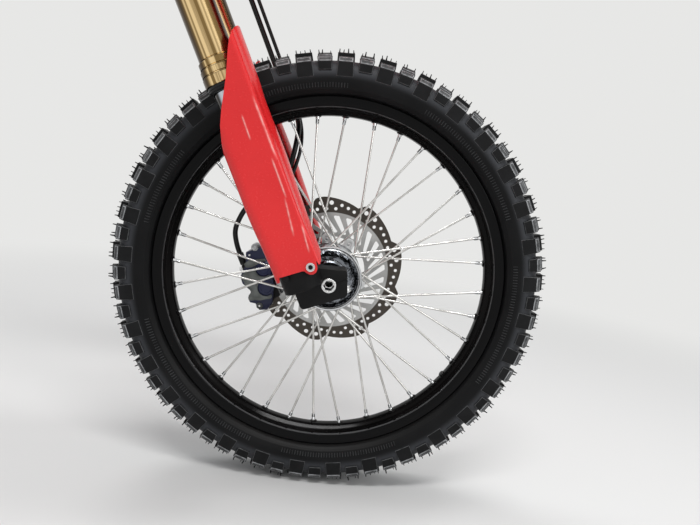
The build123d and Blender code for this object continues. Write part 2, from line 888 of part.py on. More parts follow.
def make_guard(hand):
    wall = loft([guard_band(hand, *section) for section in guard_sections], ruled=True)
    skin_start = leg_side + 14
    skin = slab(outline(from_axle(guard_upper_end + guard_skin_end)),
                *sorted((hand * skin_start, hand * 140)))
    wrap = slab(outline(from_axle(guard_upper_end + guard_wrap_end)),
                *sorted((hand * 60, hand * skin_start)))
    guard = wall & (skin + wrap)
    x, z = from_axle([(guard_screw_ahead, guard_screw_along)])[0]
    guard -= cross_bar(x, z, guard_screw_radius + fit_gap, *sorted((hand * 110, hand * 140)))
    if hand > 0:
        low = guard_guide_along - axle_drop
        guard += guide_block(low, guard_guide_foot, hose_line, lead_line, clip_height)
        guard = guard.cut(*line_holes(low, hose_line, lead_line))
    return guard


def make_guard_screws():
    screws = []
    screw = cap_screw(guard_screw_head_radius, guard_screw_head_height, guard_screw_radius, 15)
    x, z = from_axle([(guard_screw_ahead, guard_screw_along)])[0]
    for hand in (-1, 1):
        place = Pos(x, hand * (guard_outer_side + face_gap), z)
        screws.append(place * Rot(-90 * hand, 0, 0) * screw)
    return screws


# Brake caliper

# Outline of the caliper's bracket, (ahead, along) from the axle
bracket_outline = [
    (-57, -14),
    (-57, 60),
    (-80, 64),
    (-96, 76),
    (-110, 74),
    (-110, 58),
    (-92, 44),
    (-92, 28),
    (-93, 2),
    (-98, -2),
    (-122, -6),
    (-122, -22),
    (-96, -22),
    (-80, -14),
]


def make_caliper_bracket():
    plate = slab(outline(from_axle(bracket_outline), 3.0), bracket_low, bracket_high)
    for ahead, along in bracket_bolt_places:
        x, z = from_axle([(ahead, along)])[0]
        plate -= cross_bar(x, z, bracket_bolt_radius + fit_gap, bracket_low - 1, bracket_high + 1)
    for ahead, along in slide_pin_places:
        x, z = from_axle([(ahead, along)])[0]
        plate -= cross_bar(x, z, slide_pin_radius + fit_gap, bracket_low - 1, bracket_high + 1)
    x, z = from_axle([sensor_place])[0]
    plate -= cross_bar(x, z, sensor_radius + fit_gap, bracket_low - 1, bracket_high + 1)
    return plate


def make_bracket_bolts():
    bolts = []
    screw = cap_screw(bracket_bolt_head_radius, bracket_bolt_head_height, bracket_bolt_radius, 20)
    for ahead, along in bracket_bolt_places:
        x, z = from_axle([(ahead, along)])[0]
        bolts.append(Pos(x, bracket_low - face_gap, z) * Rot(90, 0, 0) * screw)
    return bolts


def make_caliper():
    body_outline = outline(from_axle([
        (-90, 79),
        (-122, 80),
        (-129, 61),
        (-146, 44),
        (-147, 32),
        (-138, 14),
        (-147, 6),
        (-147, -3),
        (-139, -8),
        (-137, -21),
        (-124, -25),
        (-112, -18),
        (-96, 14),
    ]), 2.0)
    body = slab(body_outline, caliper_inner_side, caliper_outer_side)
    body = chamfer(body.faces().filter_by(Axis.Y).edges(), 1.6)
    cavity = (caliper_cavity_radius, caliper_cavity_low, caliper_cavity_high)
    body -= cross_bar(axle_ahead, -axle_drop, *cavity)
    clear = offset(outline(from_axle(bracket_outline), 3.0), caliper_bracket_gap)
    body -= slab(clear, caliper_cavity_low, bracket_high + caliper_bracket_gap)
    for ahead, along in slide_pin_places:
        x, z = from_axle([(ahead, along)])[0]
        body -= cross_bar(x, z, slide_pin_radius + fit_gap, bracket_high - 4, slide_pin_end + 0.5)
    along, ahead, side = hose_points[-1]
    face = axle_ahead + banjo_ahead
    notch = Box(30, 26, 32, align=(Align.MAX, Align.CENTER, Align.CENTER))
    body -= Pos(face, side, banjo_along - axle_drop) * notch
    height = banjo_along - axle_drop
    body -= bar((face - 1, side, height), (face + 12, side, height), banjo_bolt_radius + fit_gap)
    return body


def make_pads():
    centre = pad_angle - rake
    pads = []
    face_low = disc_side - pad_gap
    face_high = disc_side + disc_thickness + pad_gap
    for start, sign in ((face_low, -1), (face_high, 1)):
        for depth, length, spread, inner, outer in (
            (0.0, pad_lining, 15.0, 99.0, 124.0),
            (pad_lining, pad_plate, 17.0, 96.0, 129.0),
        ):
            low, high = centre - spread, centre + spread
            sector = make_face([
                Line(polar(inner, low), polar(outer, low)),
                ThreePointArc(polar(outer, low), polar(outer, centre), polar(outer, high)),
                Line(polar(outer, high), polar(inner, high)),
                ThreePointArc(polar(inner, high), polar(inner, centre), polar(inner, low)),
            ])
            sides = sorted((start + sign * depth, start + sign * (depth + length)))
            layer = slab(Pos(axle_ahead, -axle_drop) * sector, *sides)
            pads.append(layer)
    return [pads[0] + pads[1], pads[2] + pads[3]]


def make_slide_pins():
    pins = []
    for ahead, along in slide_pin_places:
        x, z = from_axle([(ahead, along)])[0]
        pins.append(cross_bar(x, z, slide_pin_radius, bracket_low, slide_pin_end))
    return pins


# Clamps and stem

def clamp_plan(tube_radius, boss_radius, waist):
    # Plan of a clamp: a ring round each leg, a boss round the stem, arms between.
    ring = tube_radius + clamp_ring_wall
    plan = Circle(boss_radius)
    for hand in (-1, 1):
        plan += Pos(clamp_offset, hand * leg_side) * Circle(ring)
        arm = outline([
            (-boss_radius + 6, 0),
            (boss_radius + waist, 0),
            (clamp_offset + ring - 8, hand * (leg_side - ring * 0.6)),
            (clamp_offset - ring + 6, hand * (leg_side - ring * 0.5)),
        ])
        plan += arm
        plan += Pos(clamp_offset - ring - 4, hand * (leg_side - 10)) * Rectangle(20, 22)
    return plan


def make_clamp(low, high, tube_radius, boss_radius, waist, stem_hole):
    body = Pos(0, 0, low) * extrude(clamp_plan(tube_radius, boss_radius, waist), amount=high - low)
    for hand in (-1, 1):
        body -= Pos(clamp_offset, hand * leg_side, low - 1) * Cylinder(
            tube_radius + fit_gap, high - low + 2, align=LOW)
        body -= Pos(clamp_offset - tube_radius - 12, hand * (leg_side - 10), low - 1) * Box(
            34, clamp_slit, high - low + 2, align=LOW)
        for place in clamp_bolt_heights(low, high):
            body -= clamp_bolt_line(hand, tube_radius, place, clamp_bolt_radius + fit_gap)
    body -= Pos(0, 0, low - 1) * Cylinder(stem_hole + fit_gap, high - low + 6, align=LOW)
    return body


def clamp_bolt_heights(low, high):
    if high - low > 28:
        return [low + 9, high - 9]
    return [(low + high) / 2]


def clamp_bolt_line(hand, tube_radius, height, radius):
    x = clamp_offset - tube_radius - clamp_ring_wall - 6
    low = leg_side - 10 - 11
    return bar((x, hand * (low - 1), height), (x, hand * (low + 23), height), radius)


def make_clamp_bolts(low, high, tube_radius):
    bolts = []
    screw = cap_screw(clamp_bolt_head_radius, clamp_bolt_head_height, clamp_bolt_radius, 21)
    x = clamp_offset - tube_radius - clamp_ring_wall - 6
    for hand in (-1, 1):
        for height in clamp_bolt_heights(low, high):
            place = Pos(x, hand * (leg_side - 21 - face_gap), height)
            bolts.append(place * Rot(90 * hand, 0, 0) * screw)
    return bolts


def make_lower_clamp():
    heights = (lower_clamp_low, lower_clamp_high)
    clamp = make_clamp(*heights, outer_tube_clamp_radius, 30, 6, stem_root_radius)
    boss = Pos(0, 0, lower_clamp_high - 1) * Cylinder(22, 1 - lower_clamp_high, align=LOW)
    clamp += boss - Pos(0, 0, lower_clamp_low) * Cylinder(stem_root_radius + fit_gap, 60, align=LOW)
    screw_height = clamp_clip_low + clip_height / 2
    clamp -= bar((clamp_clip_end - 13, clamp_clip_foot_side, screw_height),
                 (clamp_clip_end, clamp_clip_foot_side, screw_height), holder_screw_radius + fit_gap)
    bore = fender_bolt_radius + fit_gap
    for x, y in fender_bolt_spots():
        clamp -= Pos(x, y, lower_clamp_low - 1) * Cylinder(bore, 17, align=LOW)
    return clamp


def make_upper_clamp():
    heights = (upper_clamp_low, upper_clamp_high)
    clamp = make_clamp(*heights, outer_tube_neck_radius, 26, 4, stem_top_radius)
    for hand in (-1, 1):
        boss = Pos(handlebar_hole_ahead, hand * handlebar_hole_side, upper_clamp_low) * Cylinder(
            15, upper_clamp_high - upper_clamp_low + 3, align=LOW)
        hole = Pos(handlebar_hole_ahead, hand * handlebar_hole_side, upper_clamp_low - 1) * Cylinder(
            handlebar_hole_radius, 60, align=LOW)
        clamp = clamp + boss - hole
    screw_hole = Cylinder(holder_screw_radius + fit_gap, 20, align=LOW)
    return clamp - Pos(*top_bracket_screw, upper_clamp_high - 12) * screw_hole


def make_stem():
    stem = Pos(0, 0, lower_clamp_low) * Cylinder(stem_root_radius, -lower_clamp_low, align=LOW)
    stem += Pos(0, 0, -1) * Cylinder(stem_seat_radius, stem_seat_length + 1, align=LOW)
    stem += Cylinder(stem_radius, upper_clamp_low, align=LOW)
    top = upper_clamp_high + stem_nut_height + 2
    stem += Cylinder(stem_top_radius, top, align=LOW)
    return stem - Pos(0, 0, lower_clamp_low - 1) * Cylinder(8, 400, align=LOW)


def make_stem_nut():
    low = upper_clamp_high + face_gap
    nut = Pos(0, 0, low) * hexagon(stem_nut_flats, stem_nut_height)
    nut += Pos(0, 0, low) * Cylinder(stem_nut_flats * 0.6, 2, align=LOW)
    return nut - Pos(0, 0, low - 1) * Cylinder(stem_top_radius + fit_gap, 40, align=LOW)


# Fender

# Stations along the fender's middle line, from the wheel's centre: ahead, up,
# slope in degrees, half width, drop of the sides
fender_stations = [
    (-520, 497, 50, 60, 20),
    (-440, 574, 36, 59, 17),
    (-377, 610, 27.5, 59, 14),
    (-300, 637, 13, 61, 18),
    (-150, 640, -8, 92, 26),
    (0, 601, -20, 98, 30),
    (120, 543, -31, 80, 26),
    (214, 472, -42, 30, 10),
]


def fender_bolt_spots():
    places = (fender_bolt_rear, fender_bolt_front)
    return [(ahead, side) for ahead in places for side in (-fender_bolt_side, fender_bolt_side)]


def fender_solid(inset):
    faces = []
    for ahead, up, slope, half, drop in fender_stations:
        plane = Plane(
            origin=(axle_x + ahead, 0, axle_z + up),
            x_dir=(0, 1, 0),
            z_dir=(cos(radians(slope)), 0, sin(radians(slope))),
        )
        side = half - inset
        low = -drop - (12 if inset else 8)
        crown = ThreePointArc((-side, -drop), (0, -inset), (side, -drop))
        skirt = Polyline((side, -drop), (side, low), (-side, low), (-side, -drop))
        faces.append(plane * make_face([crown, skirt]))
    return loft(faces, ruled=True)


def make_fender():
    shell = fender_solid(0) - fender_solid(fender_wall)
    pad_top = lower_clamp_low - face_gap
    pad_middle = (fender_bolt_rear + fender_bolt_front) / 2
    pad = Pos(pad_middle, 0, pad_top - fender_pad_depth) * Box(
        fender_pad_length, fender_pad_width, fender_pad_depth, align=LOW)
    shell += fork_place * pad - fender_solid(fender_wall)
    for x, y in fender_bolt_spots():
        foot = pad_top - fender_boss_depth
        boss = Pos(x, y, foot) * Cylinder(fender_boss_radius, fender_boss_depth, align=LOW)
        hole = Pos(x, y, pad_top - 60) * Cylinder(fender_bolt_radius + fit_gap, 62, align=LOW)
        below = Pos(x, y, foot - 20) * Cylinder(fender_boss_radius, 20, align=LOW)
        shell = shell + fork_place * boss - fork_place * (hole + below)
    return shell


def make_fender_bolts():
    bolts = []
    face = lower_clamp_low - face_gap - fender_boss_depth - face_gap
    length = fender_boss_depth + 12
    screw = cap_screw(fender_bolt_head_radius, fender_bolt_head_height, fender_bolt_radius, length)
    for x, y in fender_bolt_spots():
        bolts.append(Pos(x, y, face) * Rot(180, 0, 0) * screw)
    return bolts


# Brake hose and sensor lead, points as along the fork, ahead of the axle, side

hose_points = [
    (1000, *hose_top_line),
    (925, *hose_top_line),
    (850, 12, 88),
    (780, *hose_clamp_line),
    (690, *hose_clamp_line),
    (600, *hose_line),
    (300, *hose_line),
    (256, 38.5, 83.5),
    (222, 20, 71),
    (181, -9, 69.5),
    (168, -60, 69),
    (148, -106, 72),
    (122, -134, 77),
    (94, banjo_ahead - banjo_thickness / 2, 79),
    (62, banjo_ahead - banjo_thickness / 2, 79),
]
lead_points = [
    (1000, *lead_top_line),
    (925, *lead_top_line),
    (850, 24, 88),
    (780, *lead_clamp_line),
    (690, *lead_clamp_line),
    (600, *lead_line),
    (300, *lead_line),
    (248, 39, 93),
    (213, 25.5, 76),
    (170, -8, 69.5),
    (158, -58, 69),
    (100, -80, 76),
    (40, -82, 80),
    (sensor_place[1] + sensor_flange_radius + 0.6, sensor_place[0], 75),
]


def corner_radii(points, share=0.45):
    radii = []
    for before, here, after in zip(points, points[1:], points[2:]):
        first = Vector(*here) - Vector(*before)
        second = Vector(*after) - Vector(*here)
        half_turn = radians(first.get_angle(second)) / 2
        shorter = min(first.length, second.length)
        radii.append(min(share * shorter * cos(half_turn) / sin(half_turn), longest_bend))
    return radii


def tube_along(points, radius):
    placed = [(axle_ahead + ahead, side, along - axle_drop) for along, ahead, side in points]
    path = FilletPolyline(*placed, radius=corner_radii(placed))
    start = Vector(*placed[0])
    face = Plane(origin=start, z_dir=Vector(*placed[1]) - start) * Circle(radius)
    tube = sweep(face, path=path)
    expected = pi * radius * radius * path.length
    print("tube", round(path.length, 1), "mm, volume ratio", round(tube.volume / expected, 4))
    print("radii", [round(value) for value in corner_radii(placed)])
    return tube


def line_holes(low, hose_place, lead_place):
    # Holes for the hose and the lead through a holder that they cross upright.
    holes = []
    for (ahead, side), radius in ((hose_place, hose_radius), (lead_place, lead_radius)):
        hole = Cylinder(radius + clip_gap, clip_height + 2, align=LOW)
        holes.append(Pos(axle_ahead + ahead, side, low - 1) * hole)
    return holes


def guide_block(low, start, hose_place, lead_place, height):
    # Block round both lines, from its foot's place ahead to past the lead.
    half = hose_radius + clip_gap + clip_wall
    end = lead_place[0] + lead_radius + clip_gap + clip_wall
    middle = Pos(axle_ahead + (start + end) / 2, hose_place[1], low)
    return middle * Box(end - start, 2 * half, height, align=LOW)


def make_hose_holders():
    # A clip on the lower clamp and a plate on the upper one.
    ring = outer_tube_clamp_radius + clamp_ring_wall + face_gap
    block_start = clamp_clip_end - 2 - axle_ahead
    clip = guide_block(clamp_clip_low, block_start, hose_clamp_line, lead_clamp_line, clip_height)
    foot_length = clamp_clip_end - clamp_clip_start
    foot_middle = (clamp_clip_end + clamp_clip_start) / 2
    clip += Pos(foot_middle, 90, clamp_clip_low) * Box(foot_length, 22, clip_height, align=LOW)
    clip -= Pos(clamp_offset, leg_side, clamp_clip_low - 1) * Cylinder(ring, clip_height + 2, align=LOW)
    clip = clip.cut(*line_holes(clamp_clip_low, hose_clamp_line, lead_clamp_line))
    screw_height = clamp_clip_low + clip_height / 2
    clip -= bar((clamp_clip_start - 5, clamp_clip_foot_side, screw_height),
                (clamp_clip_end + 20, clamp_clip_foot_side, screw_height), holder_screw_radius + fit_gap)
    low = upper_clamp_high + face_gap
    end = axle_ahead + lead_top_line[0] + lead_radius + clip_gap + clip_wall + 1
    start = top_bracket_screw[0] - 7
    plate = Pos((start + end) / 2, hose_top_line[1], low) * Box(
        end - start, 16, hose_bracket_thickness, align=LOW)
    plate = plate.cut(*line_holes(low, hose_top_line, lead_top_line))
    plate -= Pos(*top_bracket_screw, low - 1) * Cylinder(holder_screw_radius + fit_gap, 10, align=LOW)
    return [clip, plate]


def make_holder_screws():
    screw = cap_screw(holder_screw_head_radius, 3.0, holder_screw_radius, 12)
    x = clamp_clip_end + face_gap
    height = clamp_clip_low + clip_height / 2
    clip_screw = Pos(x, clamp_clip_foot_side, height) * Rot(0, 90, 0) * screw
    top = upper_clamp_high + hose_bracket_thickness + 2 * face_gap
    return [clip_screw, Pos(*top_bracket_screw, top) * screw]


def make_hose_fittings():
    # A ferrule and banjo eye at each end of the hose.
    fittings = []
    eye_x = axle_ahead + banjo_ahead - banjo_thickness / 2 - face_gap
    ends = ((hose_points[-1], -1), (hose_points[0], 1))
    for (along, ahead, side), way in ends:
        x = eye_x if way < 0 else axle_ahead + ahead
        end = along - axle_drop
        low, high = sorted((end - way * ferrule_length, end + way * 3))
        eye_height = end + way * 12
        fitting = Pos(x, side, low) * Cylinder(ferrule_radius, high - low, align=LOW)
        neck_low, neck_high = sorted((end, eye_height))
        neck = Cylinder(banjo_thickness * 0.45, neck_high - neck_low, align=LOW)
        fitting += Pos(x, side, neck_low) * neck
        half = banjo_thickness / 2
        fitting += bar((x - half, side, eye_height), (x + half, side, eye_height), banjo_radius)
        fitting -= bar((x - 20, side, eye_height), (x + 20, side, eye_height), banjo_bolt_radius + fit_gap)
        run_low, run_high = sorted((end, end - way * 40))
        run = Cylinder(hose_radius + fit_gap, run_high - run_low, align=LOW)
        fitting -= Pos(x, side, run_low) * run
        fittings.append(fitting)
    return fittings


def make_banjo_bolt():
    along, ahead, side = hose_points[-1]
    height = along - 12 - axle_drop
    face = axle_ahead + banjo_ahead - banjo_thickness - 2 * face_gap
    head = Rot(0, -90, 0) * (hexagon(12, 6) + Cylinder(7.6, 1.2, align=LOW))
    shank_end = (face + banjo_thickness + 11, side, height)
    return Pos(face, side, height) * head + bar((face - 1, side, height), shank_end, banjo_bolt_radius)


def make_sensor():
    x, z = from_axle([sensor_place])[0]
    tip = disc_side + disc_thickness + sensor_disc_gap
    body = cross_bar(x, z, sensor_radius, tip, bracket_high + 2)
    body += cross_bar(x, z, sensor_flange_radius, bracket_high + face_gap, bracket_high + 9)
    return body


def make_lead_plug():
    along, ahead, side = lead_points[0]
    plug = Pos(axle_ahead + ahead, side, along - axle_drop + face_gap) * Box(10, 13, 20, align=LOW)
    return chamfer(plug.edges().filter_by(Axis.Z), 1.5)


os.makedirs("parts", exist_ok=True)
lines = spoke_lines()
save("tyre", make_tyre(), wheel_place)
save("rim", make_rim(lines), wheel_place)
for node in ("spokes_right", "spokes_left"):
    own = [line for line in lines if line[0] == node]
    save(node, [make_spoke(elbow, seat, head) for name, elbow, seat, head in own], wheel_place)
nipples = [make_nipple(elbow, seat) for name, elbow, seat, head in lines]
save("spoke_nipples", nipples, wheel_place)
save("rim_plug", make_rim_plug(), wheel_place)
save("tyre_valve", make_valve(), wheel_place)
save("hub", make_hub(lines), wheel_place)
bearings = [
    make_bearing(-right_bearing_side, -right_bearing_side + bearing_width),
    make_bearing(left_bearing_side - bearing_width, left_bearing_side),
]
save("wheel_bearings", bearings, wheel_place)
seals = [
    make_seal(-right_bearing_side - face_gap - seal_width, -right_bearing_side - face_gap),
    make_seal(left_bearing_side + face_gap, left_bearing_side + face_gap + seal_width),
]
save("bearing_seals", seals, wheel_place)
save("brake_disc", make_disc(), wheel_place)
save("disc_bolts", make_disc_bolts(), wheel_place)

save("axle", make_axle(), wheel_place)
save("axle_nut", make_axle_nut(), wheel_place)
collars = [
    make_collar(-right_lug_inner_side + face_gap, -right_bearing_side - running_gap),
    make_collar(left_bearing_side + running_gap, left_lug_inner_side - face_gap),
]
save("wheel_collars", collars, wheel_place)
for hand, side in ((-1, "right"), (1, "left")):
    save("fork_bottom_" + side, make_fork_bottom(hand), fork_place)
    save("inner_tube_" + side, make_inner_tube(hand), fork_place)
    save("outer_tube_" + side, make_outer_tube(hand), fork_place)
    save("dust_seal_" + side, make_dust_seal(hand), fork_place)
    save("fork_cap_" + side, make_fork_cap(hand), fork_place)
    save("fork_guard_" + side, make_guard(hand), fork_place)
save("pinch_bolts", make_pinch_bolts(), fork_place)
save("guard_screws", make_guard_screws(), fork_place)
save("caliper_body", make_caliper(), fork_place)
save("caliper_bracket", make_caliper_bracket(), fork_place)
save("bracket_bolts", make_bracket_bolts(), fork_place)
save("brake_pads", make_pads(), fork_place)
save("slide_pins", make_slide_pins(), fork_place)
save("lower_clamp", make_lower_clamp(), fork_place)
lower_bolts = make_clamp_bolts(lower_clamp_low, lower_clamp_high, outer_tube_clamp_radius)
save("lower_clamp_bolts", lower_bolts, fork_place)
save("upper_clamp", make_upper_clamp(), fork_place)
upper_bolts = make_clamp_bolts(upper_clamp_low, upper_clamp_high, outer_tube_neck_radius)
save("upper_clamp_bolts", upper_bolts, fork_place)
save("steering_stem", make_stem(), fork_place)
save("stem_nut", make_stem_nut(), fork_place)
save("front_fender", make_fender(), Pos(0, 0, 0))
save("fender_bolts", make_fender_bolts(), fork_place)
save("brake_hose", tube_along(hose_points, hose_radius), fork_place)
save("sensor_lead", tube_along(lead_points, lead_radius), fork_place)
save("hose_holders", make_hose_holders(), fork_place)
save("holder_screws", make_holder_screws(), fork_place)
save("hose_fittings", make_hose_fittings(), fork_place)
save("banjo_bolt", make_banjo_bolt(), fork_place)
save("speed_sensor", make_sensor(), fork_place)
save("lead_plug", make_lead_plug(), fork_place)
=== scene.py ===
import bmesh
import bpy
import json
import math
from mathutils import Matrix, Vector


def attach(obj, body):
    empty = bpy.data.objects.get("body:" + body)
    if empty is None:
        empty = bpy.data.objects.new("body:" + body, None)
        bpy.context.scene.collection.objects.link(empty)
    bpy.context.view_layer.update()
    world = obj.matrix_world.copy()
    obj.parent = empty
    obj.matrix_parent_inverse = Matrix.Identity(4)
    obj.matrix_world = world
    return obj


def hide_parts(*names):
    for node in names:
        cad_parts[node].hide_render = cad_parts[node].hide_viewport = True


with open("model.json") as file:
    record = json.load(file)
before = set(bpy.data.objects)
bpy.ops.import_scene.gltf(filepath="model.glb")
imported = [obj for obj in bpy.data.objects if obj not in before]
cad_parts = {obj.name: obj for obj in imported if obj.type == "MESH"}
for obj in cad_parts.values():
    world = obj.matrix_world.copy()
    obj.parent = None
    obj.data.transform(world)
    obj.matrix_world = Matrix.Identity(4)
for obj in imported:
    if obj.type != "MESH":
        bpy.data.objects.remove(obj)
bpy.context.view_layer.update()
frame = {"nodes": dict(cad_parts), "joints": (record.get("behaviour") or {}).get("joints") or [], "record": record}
nodes = frame["nodes"]
print("frame loaded,", len(nodes), "nodes")

# Places are in millimetres from the axle: (radius, side, angle) on the wheel
# and (ahead, side, along) on the fork. The right leg is on the minus side.
axle = Vector(frame["joints"][0]["pos_m"])
rakeAngle = math.radians(27.5)  # the fork leans back by this much
forkTurn = Matrix.Rotation(-rakeAngle, 3, "Y")
legAhead = -34.0
legSide = 96.8
legs = {"Right": -1, "Left": 1}


def wheelPoint(radius, side, angle=0.0):
    turn = math.radians(angle)
    return axle + Vector((radius * math.cos(turn), side, radius * math.sin(turn))) / 1000


def forkPoint(ahead, side, along):
    return axle + forkTurn @ Vector((ahead, side, along)) / 1000


def uprightOnWheel(across, up, depth):
    # For flatPlate(): a plate in the wheel's plane, its depth across the bike
    return axle + Vector((across, depth, up)) / 1000


def uprightOnFork(across, up, depth):
    return forkPoint(across, depth, up)


# For lathe(): turned about a line along the fork, across the bike or along a direction

def turnedUpFork(ahead, side):
    def place(radius, along, angle):
        turn = math.radians(angle)
        return forkPoint(ahead + radius * math.cos(turn), side + radius * math.sin(turn), along)
    return place


def turnedAcross(ahead, along, hand=1):
    def place(radius, side, angle):
        turn = math.radians(angle)
        return forkPoint(ahead + radius * math.cos(turn), hand * side, along + radius * math.sin(turn))
    return place


def turnedAlong(origin, direction):
    # The origin and the direction are in world metres
    across = direction.orthogonal().normalized()
    other = direction.cross(across).normalized()
    ahead = direction.normalized()

    def place(radius, height, angle):
        turn = math.radians(angle)
        spread = across * math.cos(turn) + other * math.sin(turn)
        return origin + (spread * radius + ahead * height) / 1000
    return place


def sideWord(hand):
    return "Left" if hand > 0 else "Right"


# Mesh helpers

def newObject(name, data):
    obj = bpy.data.objects.new(name, data)
    bpy.context.collection.objects.link(obj)
    return obj


def shadeMesh(mesh, sharpAngle):
    mesh.shade_smooth()
    mesh.set_sharp_from_angle(angle=math.radians(sharpAngle))


def tidyMesh(mesh, sharpAngle):
    # Doubles merged, normals outwards, smooth apart from its sharp edges
    work = bmesh.new()
    work.from_mesh(mesh)
    bmesh.ops.remove_doubles(work, verts=work.verts, dist=1e-6)
    bmesh.ops.recalc_face_normals(work, faces=work.faces)
    work.to_mesh(mesh)
    work.free()
    shadeMesh(mesh, sharpAngle)


def makeObject(name, points, faces, sharpAngle=35):
    mesh = bpy.data.meshes.new(name)
    mesh.from_pydata([tuple(point) for point in points], [], faces)
    tidyMesh(mesh, sharpAngle)
    return newObject(name, mesh)


def keepMesh(name, work):
    mesh = bpy.data.meshes.new(name)
    work.to_mesh(mesh)
    work.free()
    return newObject(name, mesh)


def markFaces(faces, layer, value):
    for face in faces:
        for loop in face.loops:
            loop[layer] = value


def bakeObject(name, obj):
    # The evaluated shape as a plain mesh of its own
    bpy.context.view_layer.update()
    graph = bpy.context.evaluated_depsgraph_get()
    mesh = bpy.data.meshes.new_from_object(obj.evaluated_get(graph))
    bpy.data.objects.remove(obj)
    return newObject(name, mesh)


def thicken(name, sheet, wall, rounding, roundAngle, sharpAngle=50):
    # A sheet given a wall inwards and rounded edges, as a plain mesh
    solid = sheet.modifiers.new("wall", "SOLIDIFY")
    solid.thickness = wall / 1000
    solid.offset = -1.0
    edges = sheet.modifiers.new("rounding", "BEVEL")
    edges.width = rounding / 1000
    edges.segments = 2
    edges.limit_method = "ANGLE"
    edges.angle_limit = math.radians(roundAngle)
    baked = bakeObject(name, sheet)
    shadeMesh(baked.data, sharpAngle)
    return baked


def gridFaces(rows, columns, wrapRows=False, wrapColumns=False):
    faces = []
    for row in range(rows if wrapRows else rows - 1):
        for column in range(columns if wrapColumns else columns - 1):
            nextRow = (row + 1) % rows
            nextColumn = (column + 1) % columns
            faces.append((
                row * columns + column,
                row * columns + nextColumn,
                nextRow * columns + nextColumn,
                nextRow * columns + column,
            ))
    return faces


def tubeFaces(rings, sides):
    # Rings of points joined up, with a face over each end
    count = rings * sides
    return gridFaces(rings, sides, False, True) + [tuple(range(sides)), tuple(range(count - sides, count))]


def lathe(name, loop, steps, toWorld, sharpAngle=35):
    # A closed loop of (radius, height) turned all the way round
    points = []
    for step in range(steps):
        for radius, height in loop:
            points.append(toWorld(radius, height, 360 * step / steps))
    return makeObject(name, points, gridFaces(steps, len(loop), True, True), sharpAngle)


def tubeAlong(points, radii, sides):
    # Points and faces of a closed tube on a path, in metres
    rings = []
    normal = (points[1] - points[0]).orthogonal().normalized()
    for index, point in enumerate(points):
        before = points[max(index - 1, 0)]
        after = points[min(index + 1, len(points) - 1)]
        ahead = (after - before).normalized()
        normal = (normal - ahead * normal.dot(ahead)).normalized()
        other = ahead.cross(normal)
        for side in range(sides):
            turn = 2 * math.pi * side / sides
            rings.append(point + (normal * math.cos(turn) + other * math.sin(turn)) * radii[index])
    return rings, tubeFaces(len(points), sides)


def bend(start, corner, end, share):
    # A point on the curve that rounds off a corner
    return start.lerp(corner, share).lerp(corner.lerp(end, share), share)


def between(before, start, end, after, share):
    # Catmull-Rom: a smooth value between start and end
    square, cube = share ** 2, share ** 3
    return 0.5 * (
        2 * start + (end - before) * share + (2 * before - 5 * start + 4 * end - after) * square
        + (3 * start - before - 3 * end + after) * cube
    )


def rowsAround(rows, index):
    return [rows[min(max(index + shift, 0), len(rows) - 1)] for shift in (-1, 0, 1, 2)]


def roundedLoop(corners, radius, steps=4, most=0.45):
    # A closed outline with its corners rounded over at most this share of a side
    loop = []
    count = len(corners)
    for index, corner in enumerate(corners):
        here = Vector(corner)
        toBefore = Vector(corners[index - 1]) - here
        toAfter = Vector(corners[(index + 1) % count]) - here
        reach = min(radius, toBefore.length * most, toAfter.length * most)
        start = here + toBefore.normalized() * reach
        end = here + toAfter.normalized() * reach
        loop += [tuple(bend(start, here, end, step / steps)) for step in range(steps + 1)]
    return loop


def arcLoop(across, up, radius, start, end, steps=14):
    angles = [math.radians(start + (end - start) * step / steps) for step in range(steps + 1)]
    return [(across + radius * math.cos(angle), up + radius * math.sin(angle)) for angle in angles]


def circleLoop(across, up, radius, steps=24):
    return arcLoop(across, up, radius, 0, 360, steps)[:-1]


def flatPlate(name, loops, low, high, bevel, toWorld, sharpAngle=30):
    # A plate with rounded edges; the first loop is its outline, the others are holes
    curve = bpy.data.curves.new(name, "CURVE")
    curve.dimensions = "2D"
    curve.fill_mode = "BOTH"
    for loop in loops:
        spline = curve.splines.new("POLY")
        spline.points.add(len(loop) - 1)
        for point, (across, up) in zip(spline.points, loop):
            point.co = (across, up, 0, 1)
        spline.use_cyclic_u = True
    curve.extrude = (high - low) / 2 - bevel
    curve.bevel_depth = bevel
    curve.bevel_resolution = 1
    curve.offset = -bevel
    obj = bakeObject(name, newObject(name, curve))
    middle = (low + high) / 2
    for vertex in obj.data.vertices:
        across, up, depth = vertex.co
        vertex.co = toWorld(across, up, middle + depth)
    tidyMesh(obj.data, sharpAngle)
    return obj


crisp = {
    "merge": 2e-6,
    "flat": 1.5,  # faces that turn by less than this become one
    "sharp": 32,
    "segments": 2,
}


def crispCopy(name, node, width):
    # A merged copy of a CAD node with its sharp edges rounded and marked for a painted highlight
    work = bmesh.new()
    work.from_mesh(nodes[node].data)
    work.transform(nodes[node].matrix_world)
    bmesh.ops.remove_doubles(work, verts=work.verts, dist=crisp["merge"])
    flat = math.radians(crisp["flat"])
    bmesh.ops.dissolve_limit(work, angle_limit=flat, verts=work.verts, edges=work.edges)
    mark = work.loops.layers.float.new("edge")
    limit = math.radians(crisp["sharp"])
    corners = [edge for edge in work.edges if len(edge.link_faces) == 2 and edge.calc_face_angle(0) > limit]
    result = bmesh.ops.bevel(
        work, geom=corners, offset=width / 1000, segments=crisp["segments"], profile=0.5,
        affect="EDGES", clamp_overlap=True,
    )
    markFaces(result["faces"], mark, 1.0)
    copy = keepMesh(name, work)
    shadeMesh(copy.data, crisp["sharp"])
    return copy


# Node helpers, for shader groups, materials and Geometry Nodes alike

